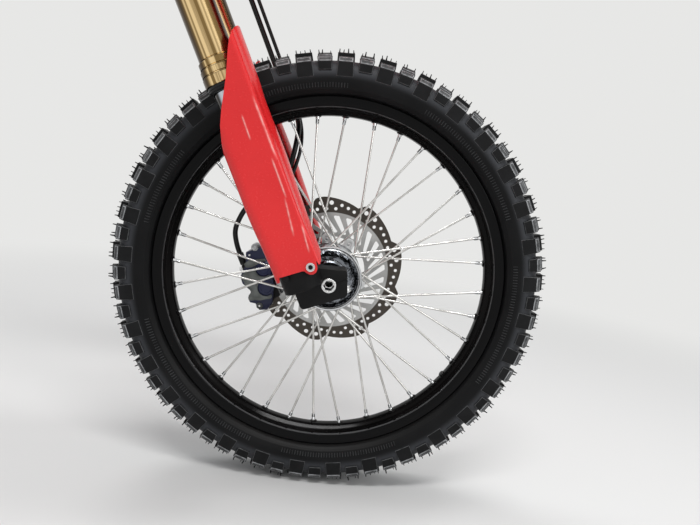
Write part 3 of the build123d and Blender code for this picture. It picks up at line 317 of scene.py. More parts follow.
def addNode(tree, kind, inputs=None, **settings):
    # Each input gets a value, or a link where another node's output is given
    node = tree.nodes.new(kind)
    for key, value in settings.items():
        setattr(node, key, value)
    for key, value in (inputs or {}).items():
        if isinstance(value, bpy.types.NodeSocket):
            tree.links.new(value, node.inputs[key])
        else:
            node.inputs[key].default_value = value
    return node


def addMath(tree, operation, *values, **settings):
    inputs = dict(enumerate(values))
    return addNode(tree, "ShaderNodeMath", inputs, operation=operation, **settings).outputs[0]


def addVectorMath(tree, operation, *values):
    node = addNode(tree, "ShaderNodeVectorMath", dict(enumerate(values)), operation=operation)
    return node.outputs["Value" if operation in ("LENGTH", "DISTANCE") else "Vector"]


def addNoise(tree, place, scale, detail):
    inputs = {"Vector": place, "Scale": scale, "Detail": detail}
    return addNode(tree, "ShaderNodeTexNoise", inputs).outputs["Fac"]


def objectPlace(tree):
    return addNode(tree, "ShaderNodeTexCoord").outputs["Object"]


# Shared effects of the materials, as node groups

def newGroup(name, inputs, outputs=("Mask",)):
    # A vector among the inputs is a tuple, all else is a number
    group = bpy.data.node_groups.new(name, "ShaderNodeTree")
    for label, value in inputs.items():
        kind = "NodeSocketVector" if isinstance(value, tuple) else "NodeSocketFloat"
        socket = group.interface.new_socket(name=label, in_out="INPUT", socket_type=kind)
        socket.default_value = value
    for label in outputs:
        group.interface.new_socket(name=label, in_out="OUTPUT", socket_type="NodeSocketFloat")
    return group, group.nodes.new("NodeGroupInput").outputs


def endGroup(group, results):
    addNode(group, "NodeGroupOutput", results)
    return group


def makeSurfaceGrain():
    # Fine grain and wide blotches
    group, given = newGroup("surfaceGrain", {
        "Fine Scale": 400.0, "Blotch Scale": 12.0, "Stretch": (1.0, 1.0, 1.0), "Turn": (0.0, 0.0, 0.0),
    }, ["Fine", "Blotch"])
    place = objectPlace(group)
    turned = addNode(
        group, "ShaderNodeMapping", {"Vector": place, "Rotation": given["Turn"]}, vector_type="POINT"
    )
    stretched = addVectorMath(group, "MULTIPLY", turned.outputs["Vector"], given["Stretch"])
    return endGroup(group, {
        "Fine": addNoise(group, stretched, given["Fine Scale"], 3.0),
        "Blotch": addNoise(group, place, given["Blotch Scale"], 5.0),
    })


def makeEdgeHighlight():
    # Rounded edges and moulded lines are marked in the mesh and painted lighter as a highlight; noise breaks the
    # mark up
    group, given = newGroup("edgeHighlight", {"Amount": 0.6, "Breakup Scale": 120.0})
    mark = addNode(group, "ShaderNodeAttribute", attribute_name="edge", attribute_type="GEOMETRY")
    spread = addNode(group, "ShaderNodeMapRange", {
        "Value": addNoise(group, objectPlace(group), given["Breakup Scale"], 3.0),
        "From Min": 0.35, "From Max": 0.6, "To Min": 0.45,
    })
    both = addMath(group, "MULTIPLY", mark.outputs["Fac"], spread.outputs["Result"])
    return endGroup(group, {"Mask": addMath(group, "MULTIPLY", both, given["Amount"], use_clamp=True)})


def makeDustFilm():
    # A thin film on what faces upwards
    group, given = newGroup("dustFilm", {"Amount": 0.2, "Patch Scale": 25.0})
    geometry = addNode(group, "ShaderNodeNewGeometry")
    split = addNode(group, "ShaderNodeSeparateXYZ", {"Vector": geometry.outputs["Normal"]})
    facing = addNode(group, "ShaderNodeMapRange", {"Value": split.outputs["Z"], "From Min": 0.2})
    patches = addNoise(group, objectPlace(group), given["Patch Scale"], 5.0)
    both = addMath(group, "MULTIPLY", facing.outputs["Result"], patches)
    return endGroup(group, {"Mask": addMath(group, "MULTIPLY", both, given["Amount"], use_clamp=True)})


def makeWheelRadius():
    # Distance from the axle's line in millimetres
    group, given = newGroup("wheelRadius", {"Centre": (0.0, 0.0, 0.0)}, ["Radius"])
    away = addVectorMath(group, "SUBTRACT", objectPlace(group), given["Centre"])
    flat = addVectorMath(group, "MULTIPLY", away, (1000.0, 0.0, 1000.0))
    return endGroup(group, {"Radius": addVectorMath(group, "LENGTH", flat)})


grainGroup = makeSurfaceGrain()
edgeHighlightGroup = makeEdgeHighlight()
dustGroup = makeDustFilm()
radiusGroup = makeWheelRadius()


def placeGroup(tree, group, values):
    node = addNode(tree, "ShaderNodeGroup")
    node.node_tree = group
    for key, value in values.items():
        node.inputs[key].default_value = value
    return node.outputs


def mixColour(tree, mask, first, second):
    # A colour laid over another colour by a mask
    mix = addNode(tree, "ShaderNodeMix", {"Factor": mask, "A": first, "B": (*second, 1)}, data_type="RGBA")
    return mix.outputs["Result"]


def stepBetween(tree, value, low, high, outLow=0.0, outHigh=1.0):
    node = addNode(tree, "ShaderNodeMapRange", {
        "Value": value, "From Min": low, "From Max": high, "To Min": outLow, "To Max": outHigh,
    }, interpolation_type="SMOOTHSTEP")
    return node.outputs["Result"]


finishing = {
    "blotchSpread": (0.3, 0.7),
    "streakSpread": (0.40, 0.60),
    "highlightBreakupScale": 120.0,
    "dustScale": 22.0,
    "dustColour": (0.32, 0.30, 0.27),
    "grazingSpread": (0.22, 0.46),
    "roughSpread": (0.3, 0.7),
    "dishFade": (2, 1),  # width of its soft edges, inside and outside
    "dishPatches": (150.0, 90.0),  # scales of the dish's dents
    "dishDepth": 150.0,
    "bumpDistance": 0.0005,
}


def makeFinish(name, look):
    # A material from its settings
    mat = bpy.data.materials.new(name)
    mat.use_nodes = True
    tree = mat.node_tree
    fineScale, blotchScale = look["scales"]
    grain = placeGroup(tree, grainGroup, {
        "Fine Scale": fineScale, "Blotch Scale": blotchScale,
        "Stretch": look.get("stretch", (1, 1, 1)), "Turn": look.get("turn", (0, 0, 0)),
    })
    if "stretch" in look:
        tint = stepBetween(tree, grain["Fine"], *finishing["streakSpread"])
    else:
        tint = stepBetween(tree, grain["Blotch"], *finishing["blotchSpread"])
    colour = mixColour(tree, tint, (*look["colour"], 1), look["second"])
    if "rings" in look or "turning" in look:
        radius = placeGroup(tree, radiusGroup, {"Centre": axle})["Radius"]
    for low, high, ringColour in look.get("rings", []):
        colour = mixColour(tree, stepBetween(tree, radius, low, high), colour, ringColour)
    if "dish" in look:
        # The polished dish between two radii reflects in small patches; its darker colour is a painted dark
        # reflection
        low, high, dishReflection = look["dish"]
        fadeIn, fadeOut = finishing["dishFade"]
        beyondLow = stepBetween(tree, radius, low, low + fadeIn)
        belowHigh = stepBetween(tree, radius, high - fadeOut, high, 1.0, 0.0)
        inDish = addMath(tree, "MULTIPLY", beyondLow, belowHigh)
        colour = mixColour(tree, inDish, colour, dishReflection)
    if "edge" in look:
        # painted highlight on the marked edges and lines
        highlightColour, amount = look["edge"]
        edgeLight = placeGroup(tree, edgeHighlightGroup, {"Amount": amount, "Breakup Scale": finishing["highlightBreakupScale"]})
        colour = mixColour(tree, edgeLight["Mask"], colour, highlightColour)
    if "grazing" in look:
        # Darker towards the sides of a tube: a painted dark reflection
        facing = addNode(tree, "ShaderNodeLayerWeight", {"Blend": 0.5}).outputs["Facing"]
        atSides = stepBetween(tree, facing, *finishing["grazingSpread"])
        colour = mixColour(tree, atSides, colour, look["grazing"])
    if "dust" in look:
        dust = placeGroup(tree, dustGroup, {"Amount": look["dust"], "Patch Scale": finishing["dustScale"]})
        colour = mixColour(tree, dust["Mask"], colour, finishing["dustColour"])
    height = grain["Fine"]
    if "turning" in look:
        # Fine turned or ground rings about the axle
        height = addNode(
            tree, "ShaderNodeTexNoise", {"W": radius, "Scale": look["turning"], "Detail": 4.0},
            noise_dimensions="1D",
        ).outputs["Fac"]
    if "dish" in look:
        fineScale, blotchScale = finishing["dishPatches"]
        patches = placeGroup(tree, grainGroup, {"Fine Scale": fineScale, "Blotch Scale": blotchScale})
        deep = addMath(tree, "MULTIPLY", patches["Blotch"], finishing["dishDepth"])
        height = addMath(tree, "ADD", addMath(tree, "MULTIPLY", deep, inDish), height)
    bump = addNode(tree, "ShaderNodeBump", {
        "Strength": look["bump"], "Distance": finishing["bumpDistance"], "Height": height,
    })
    shader = tree.nodes["Principled BSDF"]
    tree.links.new(colour, shader.inputs["Base Color"])
    rough = stepBetween(tree, grain["Fine"], *finishing["roughSpread"], *look["rough"])
    tree.links.new(rough, shader.inputs["Roughness"])
    tree.links.new(bump.outputs["Normal"], shader.inputs["Normal"])
    shader.inputs["Metallic"].default_value = look.get("metal", 0.0)
    shader.inputs["Specular IOR Level"].default_value = look.get("specular", 0.5)
    return mat


alongFork = (0.0, rakeAngle, 0.0)  # turns the grain's z onto the fork's length

# colour and second are mixed by blotches, or by streaks where there is a stretch;
# scales are those of the fine grain and of the blotches, edge is the colour of a painted
# highlight on marked edges and lines and its amount, rings start between two radii from the axle
looks = {
    # knobRubber's edge is a painted highlight on the knobs' rounded edges and panel frames
    "knobRubber": dict(
        colour=(0.0045, 0.0046, 0.005), second=(0.0085, 0.0087, 0.0095), rough=(0.4, 0.56),
        scales=(1100, 40), bump=0.08, specular=0.15, edge=((0.40, 0.41, 0.42), 0.9), dust=0.03),
    # carcassRubber's lighter ring between 301 and 314 mm is a painted sheen on the sidewall; its edge is a painted
    # sheen on the ribs
    "carcassRubber": dict(
        colour=(0.0045, 0.0046, 0.005), second=(0.0075, 0.0076, 0.0082), rough=(0.36, 0.5),
        scales=(1100, 16), bump=0.06, specular=0.12, rings=[(301, 314, (0.041, 0.043, 0.048))],
        edge=((0.30, 0.31, 0.32), 0.8), dust=0.05),
    "nibRubber": dict(
        colour=(0.004, 0.004, 0.0042), second=(0.007, 0.007, 0.0074), rough=(0.4, 0.5),
        scales=(900, 60), bump=0.02, specular=0.2),
    # rimBlack's light ring on the ridge, ended by the dark one, is a painted highlight line
    "rimBlack": dict(
        colour=(0.0020, 0.0018, 0.0018), second=(0.0040, 0.0034, 0.0034), rough=(0.12, 0.18),
        scales=(500, 9), bump=0.01, specular=0.10,
        rings=[(263.7, 263.9, (0.07, 0.07, 0.072)), (264.4, 264.6, (0.003, 0.003, 0.0033))]),
    "spokeSteel": dict(
        colour=(0.76, 0.75, 0.73), second=(0.54, 0.53, 0.51), rough=(0.16, 0.26),
        scales=(900, 30), bump=0.03, metal=1.0),
    "nippleSteel": dict(
        colour=(0.84, 0.85, 0.86), second=(0.66, 0.67, 0.68), rough=(0.18, 0.3),
        scales=(900, 120), bump=0.03, metal=1.0),
    # hubMirror's darker dish is a painted dark reflection
    "hubMirror": dict(
        colour=(0.74, 0.75, 0.76), second=(0.58, 0.59, 0.61), rough=(0.06, 0.14),
        scales=(500, 24), bump=0.12, metal=1.0, turning=1.2, dish=(27.5, 46.0, (0.22, 0.235, 0.26))),
    "earAlloy": dict(
        colour=(0.74, 0.75, 0.76), second=(0.60, 0.61, 0.62), rough=(0.34, 0.48),
        scales=(700, 40), bump=0.1, metal=1.0, edge=((0.9, 0.9, 0.9), 0.5)),
    "discSteel": dict(
        colour=(0.48, 0.48, 0.475), second=(0.34, 0.34, 0.335), rough=(0.30, 0.42),
        scales=(500, 26), bump=0.12, metal=1.0, turning=1.6, rings=[(99.6, 100.6, (0.074, 0.065, 0.057))]),
    "castBlack": dict(
        colour=(0.0035, 0.0035, 0.0038), second=(0.0065, 0.0065, 0.0068), rough=(0.45, 0.62),
        scales=(900, 18), bump=0.14, specular=0.17, edge=((0.05, 0.05, 0.052), 0.35), dust=0.02),
    # the grazing colours of both tubes are a painted dark reflection at their sides
    "tubeChrome": dict(
        colour=(0.62, 0.66, 0.72), second=(0.44, 0.47, 0.52), rough=(0.05, 0.09),
        scales=(110, 8), bump=0.01, metal=1.0, stretch=(1, 1, 0.004), turn=alongFork,
        grazing=(0.03, 0.025, 0.022)),
    # goldAnodised's dark streaks are drawn lines and painted reflection stripes
    "goldAnodised": dict(
        colour=(0.96, 0.71, 0.37), second=(0.26, 0.165, 0.062), rough=(0.16, 0.24),
        scales=(150, 10), bump=0.02, metal=1.0, stretch=(1, 1, 0.002), turn=alongFork,
        grazing=(0.075, 0.05, 0.028)),
    "sealRubber": dict(
        colour=(0.003, 0.003, 0.003), second=(0.006, 0.006, 0.006), rough=(0.34, 0.46),
        scales=(700, 20), bump=0.05, specular=0.35, edge=((0.1, 0.1, 0.1), 0.5)),
    # guardRed's edge is a painted highlight on the guard's moulded lines and rounded edges
    "guardRed": dict(
        colour=(0.85, 0.029, 0.031), second=(0.73, 0.021, 0.023), rough=(0.2, 0.28),
        scales=(300, 5), bump=0.006, specular=0.4, edge=((0.98, 0.50, 0.46), 0.85)),
    "caliperBlue": dict(
        colour=(0.004, 0.007, 0.036), second=(0.007, 0.011, 0.052), rough=(0.28, 0.4),
        scales=(700, 18), bump=0.1, metal=0.2, edge=((0.10, 0.12, 0.22), 0.5)),
    "caliperGrey": dict(
        colour=(0.16, 0.17, 0.165), second=(0.085, 0.09, 0.085), rough=(0.36, 0.5),
        scales=(420, 60), bump=0.2, metal=0.7),
    "bracketAlloy": dict(
        colour=(0.42, 0.43, 0.44), second=(0.33, 0.34, 0.35), rough=(0.34, 0.48),
        scales=(700, 25), bump=0.12, metal=1.0, edge=((0.62, 0.62, 0.63), 0.6)),
    "boltSteel": dict(
        colour=(0.76, 0.76, 0.76), second=(0.60, 0.60, 0.60), rough=(0.18, 0.32),
        scales=(800, 40), bump=0.05, metal=1.0, edge=((0.95, 0.95, 0.95), 0.6)),
    "hoseRubber": dict(
        colour=(0.003, 0.003, 0.0033), second=(0.006, 0.006, 0.0063), rough=(0.16, 0.24),
        scales=(900, 30), bump=0.03, specular=0.3),
    "holderBlack": dict(
        colour=(0.006, 0.006, 0.0065), second=(0.010, 0.010, 0.011), rough=(0.4, 0.55),
        scales=(900, 30), bump=0.12, specular=0.35, edge=((0.06, 0.06, 0.06), 0.5)),
}
materials = {name: makeFinish(name, look) for name, look in looks.items()}
print("materials made:", len(materials))


def finishPiece(obj, look, slot, body, *replaced):
    obj.data.materials.clear()
    obj.data.materials.append(materials[look])
    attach(obj, body)
    if replaced:
        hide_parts(*replaced)


# Geometry Nodes: copies round the axle, and nibs that stand on the tread

def newTree(name, inputs):
    kinds = {int: "NodeSocketInt", float: "NodeSocketFloat", tuple: "NodeSocketVector"}
    tree = bpy.data.node_groups.new(name, "GeometryNodeTree")
    tree.interface.new_socket(name="Geometry", in_out="INPUT", socket_type="NodeSocketGeometry")
    for label, value in inputs.items():
        socket = tree.interface.new_socket(name=label, in_out="INPUT", socket_type=kinds[type(value)])
        socket.default_value = value
    tree.interface.new_socket(name="Finish", in_out="INPUT", socket_type="NodeSocketMaterial")
    tree.interface.new_socket(name="Geometry", in_out="OUTPUT", socket_type="NodeSocketGeometry")
    return tree, tree.nodes.new("NodeGroupInput").outputs


def endTree(tree, given, instances):
    real = addNode(tree, "GeometryNodeRealizeInstances", {0: instances})
    finish = addNode(tree, "GeometryNodeSetMaterial", {
        "Geometry": real.outputs[0], "Material": given["Finish"],
    })
    addNode(tree, "NodeGroupOutput", {"Geometry": finish.outputs["Geometry"]})
    return tree


def makeRoundAxle():
    # The input piece, made about the origin at angle 0, copied round the axle
    tree, given = newTree("roundAxle", {
        "Count": 9, "First Angle": 0.0, "Step Angle": 40.0, "Centre": (0.0, 0.0, 0.0),
    })
    index = addNode(tree, "GeometryNodeInputIndex").outputs[0]
    angle = addMath(tree, "MULTIPLY_ADD", index, given["Step Angle"], given["First Angle"])
    back = addMath(tree, "MULTIPLY", addMath(tree, "RADIANS", angle), -1.0)
    euler = addNode(tree, "ShaderNodeCombineXYZ", {"Y": back})
    rotation = addNode(tree, "FunctionNodeEulerToRotation", {0: euler.outputs[0]})
    points = addNode(tree, "GeometryNodePoints", {"Count": given["Count"], "Position": given["Centre"]})
    copies = addNode(tree, "GeometryNodeInstanceOnPoints", {
        "Points": points.outputs[0], "Instance": given["Geometry"], "Rotation": rotation.outputs[0],
    })
    return endTree(tree, given, copies.outputs[0])


nibForm = {
    "sides": 5,
    "taper": (0.5, 0.3),  # radius at the foot and the top against the width
    "sizes": (0.6, 1.15),
}


def makeTreadNibs():
    # A thin moulding nib on each loose point, leaning a little at random
    tree, given = newTree("treadNibs", {
        "Length": 0.005, "Width": 0.0011, "Lean": 0.25, "Seed": 4, "Centre": (0.0, 0.0, 0.0),
    })
    foot, top = [addMath(tree, "MULTIPLY", given["Width"], share) for share in nibForm["taper"]]
    cone = addNode(tree, "GeometryNodeMeshCone", {
        "Vertices": nibForm["sides"], "Radius Bottom": foot, "Radius Top": top, "Depth": given["Length"],
    })
    place = addNode(tree, "GeometryNodeInputPosition").outputs[0]
    away = addVectorMath(tree, "SUBTRACT", place, given["Centre"])
    out = addVectorMath(tree, "NORMALIZE", addVectorMath(tree, "MULTIPLY", away, (1.0, 0.0, 1.0)))
    lean = addNode(tree, "FunctionNodeRandomValue", {
        0: (-1.0, -1.0, -1.0), 1: (1.0, 1.0, 1.0), "Seed": given["Seed"],
    }, data_type="FLOAT_VECTOR")
    scaled = addNode(
        tree, "ShaderNodeVectorMath", {0: lean.outputs[0], "Scale": given["Lean"]}, operation="SCALE"
    )
    both = addVectorMath(tree, "ADD", out, scaled.outputs[0])
    aim = addNode(tree, "FunctionNodeAlignRotationToVector", {"Vector": both}, axis="Z")
    least, most = nibForm["sizes"]
    inputs = {2: least, 3: most, "Seed": given["Seed"]}
    size = addNode(tree, "FunctionNodeRandomValue", inputs, data_type="FLOAT")
    copies = addNode(tree, "GeometryNodeInstanceOnPoints", {
        "Points": given["Geometry"], "Instance": cone.outputs["Mesh"], "Rotation": aim.outputs[0],
        "Scale": size.outputs[1],
    })
    return endTree(tree, given, copies.outputs[0])


roundAxle = makeRoundAxle()
treadNibs = makeTreadNibs()


def growTree(name, seed, tree, look, values, sharpAngle):
    # Runs a tree on a seed object and keeps its result as a plain mesh
    values = {"Centre": tuple(axle), "Finish": materials[look], **values}
    modifier = seed.modifiers.new(name, "NODES")
    modifier.node_group = tree
    for item in tree.interface.items_tree:
        if item.item_type == "SOCKET" and item.in_out == "INPUT" and item.name in values:
            modifier[item.identifier] = values[item.name]
    grown = bakeObject(name, seed)
    shadeMesh(grown.data, sharpAngle)
    return grown


def dressRound(name, seed, look, slot, node, places, sharpAngle=35):
    # Copies of a seed round the wheel, as one finished piece
    values = dict(zip(("Count", "First Angle", "Step Angle"), places))
    ring = growTree(name, seed, roundAxle, look, values, sharpAngle)
    finishPiece(ring, look, slot, "wheel", node)


def shiftToOrigin(obj):
    # Seeds for dressRound are made about the origin
    for vertex in obj.data.vertices:
        vertex.co -= axle
    return obj


# Tyre: a smooth carcass, four kinds of knob, nibs and ribbed sidewall panels

tyre = {
    "sharp": 50,
    "pitches": 33,
    "firstAngle": 5.7,
    "steps": 264,
    # radius and side, from the crown down to the bead
    "outside": [
        (332.4, 0), (332.2, 10), (331.8, 20), (330.4, 26), (328, 29.6), (323, 33.2), (316, 36.2),
        (309, 38.0), (303, 38.6), (297, 38.2), (292.4, 37.0), (289.0, 35.4), (287.6, 34.9), (287.0, 34.1),
        (286.2, 33.5), (284.6, 32.2), (283.4, 30.8), (282.8, 30.4), (282.2, 29.2), (281.0, 26.6),
        (280.4, 22.0),
    ],
    "inside": [(267.2, 22), (267.2, 13), (285, 21), (301, 28.5), (316, 27), (326, 20), (327.5, 0)],
}
# Half widths at the top and the foot; panel says which face has one: its middle
# is between two radii and beyond a side
knobs = {
    "crownKnobs": dict(share=0.0, top=13.0, foot=13.6, hands=(1,), panel=None,
                       section=[(329, -12.5), (346.2, -12.5), (346.2, 12.5), (329, 12.5)]),
    "flankKnobs": dict(share=0.5, top=10.5, foot=11.2, hands=(1, -1), panel=(330, 341, 20),
                       section=[(329, 12.5), (345, 12.5), (340.5, 24.5), (329, 24.5)]),
    "longLugs": dict(share=0.0, top=11.3, foot=12.6, hands=(1, -1), panel=(327, 334.5, 34),
                     section=[(312, 27), (337, 27), (335, 34), (326.5, 38.6), (305.5, 38.9), (304.5, 34)]),
    "shortLugs": dict(share=0.5, top=11.7, foot=9.4, hands=(1, -1), panel=(327, 334, 34),
                      section=[(318, 27), (337, 27), (334.8, 34), (326.5, 38.2), (315, 38.4), (313.5, 33)]),
}
knobPanel = {
    "margin": 0.0012,
    "frame": 0.0013,
    "height": 0.0006,
    # how much the panel's frame and middle are painted lighter, as a highlight
    "frameHighlight": 1.0,
    "middleHighlight": 0.24,
}
knobEdge = {
    "footMargin": 1,  # edges no further than this from the foot stay sharp
    "angle": 28,
    "width": 0.0008,
    "shortest": 0.006,
    # how much the rounded edges are painted lighter, as a highlight
    "mark": 0.22,
    "sharp": 20,
}
nibs = {
    "crown": dict(share=0.0, radius=346.1, side=10.3, offsets=(-11.0, -4.6, 2.6, 10.8)),
    "flank": dict(share=0.5, radius=342.0, side=20.5, offsets=(-8.8, -4.2, 8.6)),
    "values": {"Length": 0.0060, "Width": 0.0024, "Lean": 0.16, "Seed": 4},
    "sharp": 60,
    "floorAngle": 270,
    "floorGap": 6,  # degrees without nibs where the tyre stands on the floor
}
sidewallRibs = {
    # how many ribs, and the angle of the first
    "panels": [(47, -28.0), (50, 26.0), (38, 92.0), (29, 146.0), (61, 200.0), (44, 262.0)],
    "step": 0.85,
    "size": (7.0, 1.5, 2.0),  # along the radius, out of the wall, across
    "top": (0.94, 0.45),  # length and width at the top against the foot
    "radius": 293.5,
    "side": 37.1,
    "lean": 17.0,
    # how much the ribs are painted lighter, as a sheen
    "mark": 0.16,
    "sharp": 30,
}


def makeCarcass():
    half = tyre["outside"] + tyre["inside"]
    other = [(radius, -side) for radius, side in reversed(half) if side]
    return lathe("tyreCarcass", half + other, tyre["steps"], wheelPoint, tyre["sharp"])


def insetFace(work, face, thickness, depth=0.0):
    settings = {"thickness": thickness, "depth": depth, "use_even_offset": True}
    return bmesh.ops.inset_region(work, faces=[face], **settings)["faces"]


def makeKnob(name, knob, hand):
    # One knob at angle 0 about the origin, its edges rounded and marked for a painted highlight
    radii = [radius for radius, side in knob["section"]]
    low, high = min(radii), max(radii)
    work = bmesh.new()
    mark = work.loops.layers.float.new("edge")
    rows = []
    for way in (1, -1):
        row = []
        for radius, side in knob["section"]:
            share = (radius - low) / (high - low)
            width = knob["foot"] + (knob["top"] - knob["foot"]) * share
            row.append(work.verts.new(Vector((radius, hand * side, way * width)) / 1000))
        rows.append(row)
    count = len(radii)
    work.faces.new(rows[0])
    work.faces.new(list(reversed(rows[1])))
    for index in range(count):
        after = (index + 1) % count
        work.faces.new((rows[0][index], rows[1][index], rows[1][after], rows[0][after]))
    bmesh.ops.recalc_face_normals(work, faces=work.faces)
    if knob["panel"]:
        # A raised inner panel on the face that catches the light; its frame and middle are also painted lighter as
        # a highlight
        panelLow, panelHigh, panelSide = [value / 1000 for value in knob["panel"]]
        for face in list(work.faces):
            middle = face.calc_center_median()
            if panelLow < middle.x < panelHigh and abs(middle.y) > panelSide and abs(middle.z) < 1e-4:
                insetFace(work, face, knobPanel["margin"])
                border = insetFace(work, face, knobPanel["frame"], knobPanel["height"])
                markFaces(border, mark, knobPanel["frameHighlight"])
                markFaces([face], mark, knobPanel["middleHighlight"])
    corners = [edge for edge in work.edges if edge.calc_face_angle(0) > math.radians(knobEdge["angle"])]
    foot = (low + knobEdge["footMargin"]) / 1000
    corners = [edge for edge in corners if min(vertex.co.x for vertex in edge.verts) > foot]
    corners = [edge for edge in corners if edge.calc_length() > knobEdge["shortest"]]
    result = bmesh.ops.bevel(
        work, geom=corners, offset=knobEdge["width"], segments=1, profile=0.5, affect="EDGES"
    )
    markFaces(result["faces"], mark, knobEdge["mark"])
    return keepMesh(name, work)


def makeNibSeeds():
    points = []
    pitch = 360 / tyre["pitches"]
    for kind in ("crown", "flank"):
        row = nibs[kind]
        for index in range(tyre["pitches"]):
            for hand in (-1, 1):
                for offset in row["offsets"]:
                    angle = tyre["firstAngle"] + (index + row["share"]) * pitch
                    angle += math.degrees(hand * offset / row["radius"])
                    if abs(angle - nibs["floorAngle"]) > nibs["floorGap"]:
                        points.append(wheelPoint(row["radius"], hand * row["side"], angle))
    mesh = bpy.data.meshes.new("nibPlaces")
    mesh.from_pydata([tuple(point) for point in points], [], [])
    return newObject("nibPlaces", mesh)


def makeRib(hand):
    # One low rib about the origin, following the sidewall's slope
    length, height, width = [value / 2000 for value in sidewallRibs["size"]]
    topLength, topWidth = sidewallRibs["top"]
    lean = math.radians(sidewallRibs["lean"])
    work = bmesh.new()
    corners = []
    for level in (-1, 1):
        for end, side in ((1, 1), (-1, 1), (-1, -1), (1, -1)):
            reach = end * length * (topLength if level > 0 else 1.0)
            across = side * width * (topWidth if level > 0 else 1.0)
            out = level * height
            corners.append(work.verts.new((
                sidewallRibs["radius"] / 1000 + reach * math.cos(lean) - out * math.sin(lean),
                hand * (sidewallRibs["side"] / 1000 + reach * math.sin(lean) + out * math.cos(lean)),
                across,
            )))
    mark = work.loops.layers.float.new("edge")
    for face in ((0, 1, 2, 3), (4, 5, 6, 7), (0, 1, 5, 4), (1, 2, 6, 5), (2, 3, 7, 6), (3, 0, 4, 7)):
        markFaces([work.faces.new([corners[index] for index in face])], mark, sidewallRibs["mark"])
    bmesh.ops.recalc_face_normals(work, faces=work.faces)
    return keepMesh("rib", work)


def dressTyre():
    finishPiece(makeCarcass(), "carcassRubber", "tyre_rubber", "wheel", "tyre")
    step = 360 / tyre["pitches"]
    for name, knob in knobs.items():
        for hand in knob["hands"]:
            label = name + (sideWord(hand) if len(knob["hands"]) > 1 else "")
            places = (tyre["pitches"], tyre["firstAngle"] + knob["share"] * step, step)
            seed = makeKnob(label, knob, hand)
            dressRound(label, seed, "knobRubber", "tyre_rubber", "tyre", places, knobEdge["sharp"])
    hairs = growTree("treadNibs", makeNibSeeds(), treadNibs, "nibRubber", nibs["values"], nibs["sharp"])
    finishPiece(hairs, "nibRubber", "tyre_rubber", "wheel", "tyre")
    sharp = sidewallRibs["sharp"]
    for number, panel in enumerate(sidewallRibs["panels"]):
        places = (*panel, sidewallRibs["step"])
        for hand in (1, -1):
            label = "sidewallRibs" + sideWord(hand) + str(number + 1)
            dressRound(label, makeRib(hand), "carcassRubber", "tyre_rubber", "tyre", places, sharp)


dressTyre()
print("tyre dressed")


# Rim, spokes and nipples

rim = {
    "steps": 360,
    "sharp": 50,
    "half": [
        (253.0, 0), (253.0, 4.6), (253.5, 6.6), (255.6, 9.0), (258.6, 11.8), (261.4, 14.8), (263.2, 17.6),
        (264.0, 19.6), (264.3, 20.9), (264.0, 21.8), (264.3, 22.6), (265.2, 23.3), (266.4, 24.0),
        (267.8, 24.9), (270.5, 25.5), (275.0, 26.0), (277.6, 26.2), (278.9, 25.9), (279.5, 25.2),
        (279.5, 23.9), (279.0, 23.2), (268.8, 22.6), (266.9, 22.3), (266.9, 14.0), (256.4, 7.0), (256.4, 0),
    ],
    # radius and height of the low bosses beside and round each nipple
    "dimple": [(0, -0.8), (2.1, -0.5), (1.68, 0.35), (0.84, 0.62), (0, 0.7)],
    "dimpleSteps": 12,
    "dimpleSharp": 60,
    "dimplePlace": (264.2, 21.3),
    "dimpleFacing": (-0.75, 0.66),
    "collarSteps": 20,
    "collarSharp": 40,
    "collar": [(0, -2.0), (5.6, -2.0), (6.1, -0.4), (5.6, 0.7), (4.4, 1.4), (3.4, 1.5), (0, 1.5)],
}
spoke = {
    "radius": 1.75,
    "circle": 46.0,
    "seat": (253.0, 4.0),  # radius and side of the nipple's seat in the rim
    "shank": (8.0, 16.5, 17.0),  # rings near the nipple, back from the seat
    "between": (0.66, 0.33),  # shares of the rings from there to the bend
    "bend": (4.5, 3.2),  # reach of the bend along the spoke and towards the head
    "bendSteps": 5,
    "headStart": 0.2,
    "head": [(0.0, 2.2), (0.4, 3.0), (1.0, 3.0), (1.4, 2.0)],  # height and radius
    "sides": 12,
    "sharp": 40,
    "count": 9,
    "step": 40.0,
    # name: node, nipple's angle, hub end's angle from there, hand, elbow's side, head's side
    "families": {
        "spokesRightOuter": ("spokes_right", 21.5, 39.0, -1, 31.8, 24.95),
        "spokesRightInner": ("spokes_right", 1.0, -39.0, -1, 22.4, 29.05),
        "spokesLeftOuter": ("spokes_left", 11.7, 31.0, 1, 33.2, 26.35),
        "spokesLeftInner": ("spokes_left", 31.0, -31.0, 1, 23.8, 30.45),
    },
}
nipple = {
    # distance from the hub's end of the nipple, and radius; the first part is square
    "profile": [(0.0, 1.9), (0.4, 2.5), (0.9, 2.75), (7.2, 2.75), (7.9, 3.2), (15.4, 3.2), (15.8, 2.6)],
    "squareEnd": 7.3,
    "square": 2.35,
    "sides": 16,
    "sharp": 28,
    "stand": 12.8,  # from its hub's end to the seat
}


def makeRim():
    other = [(radius, -side) for radius, side in reversed(rim["half"]) if side]
    return lathe("rimHoop", rim["half"] + other, rim["steps"], wheelPoint, rim["sharp"])


def spokeEnds(family):
    # Elbow, seat and head of the spoke whose nipple is at angle 0, in world metres
    lead, hand, elbowSide, headSide = family[2:]
    seatRadius, seatSide = spoke["seat"]
    elbow = wheelPoint(spoke["circle"], hand * elbowSide, lead)
    seat = wheelPoint(seatRadius, hand * seatSide, 0)
    head = wheelPoint(spoke["circle"], hand * headSide, lead)
    return elbow, seat, head


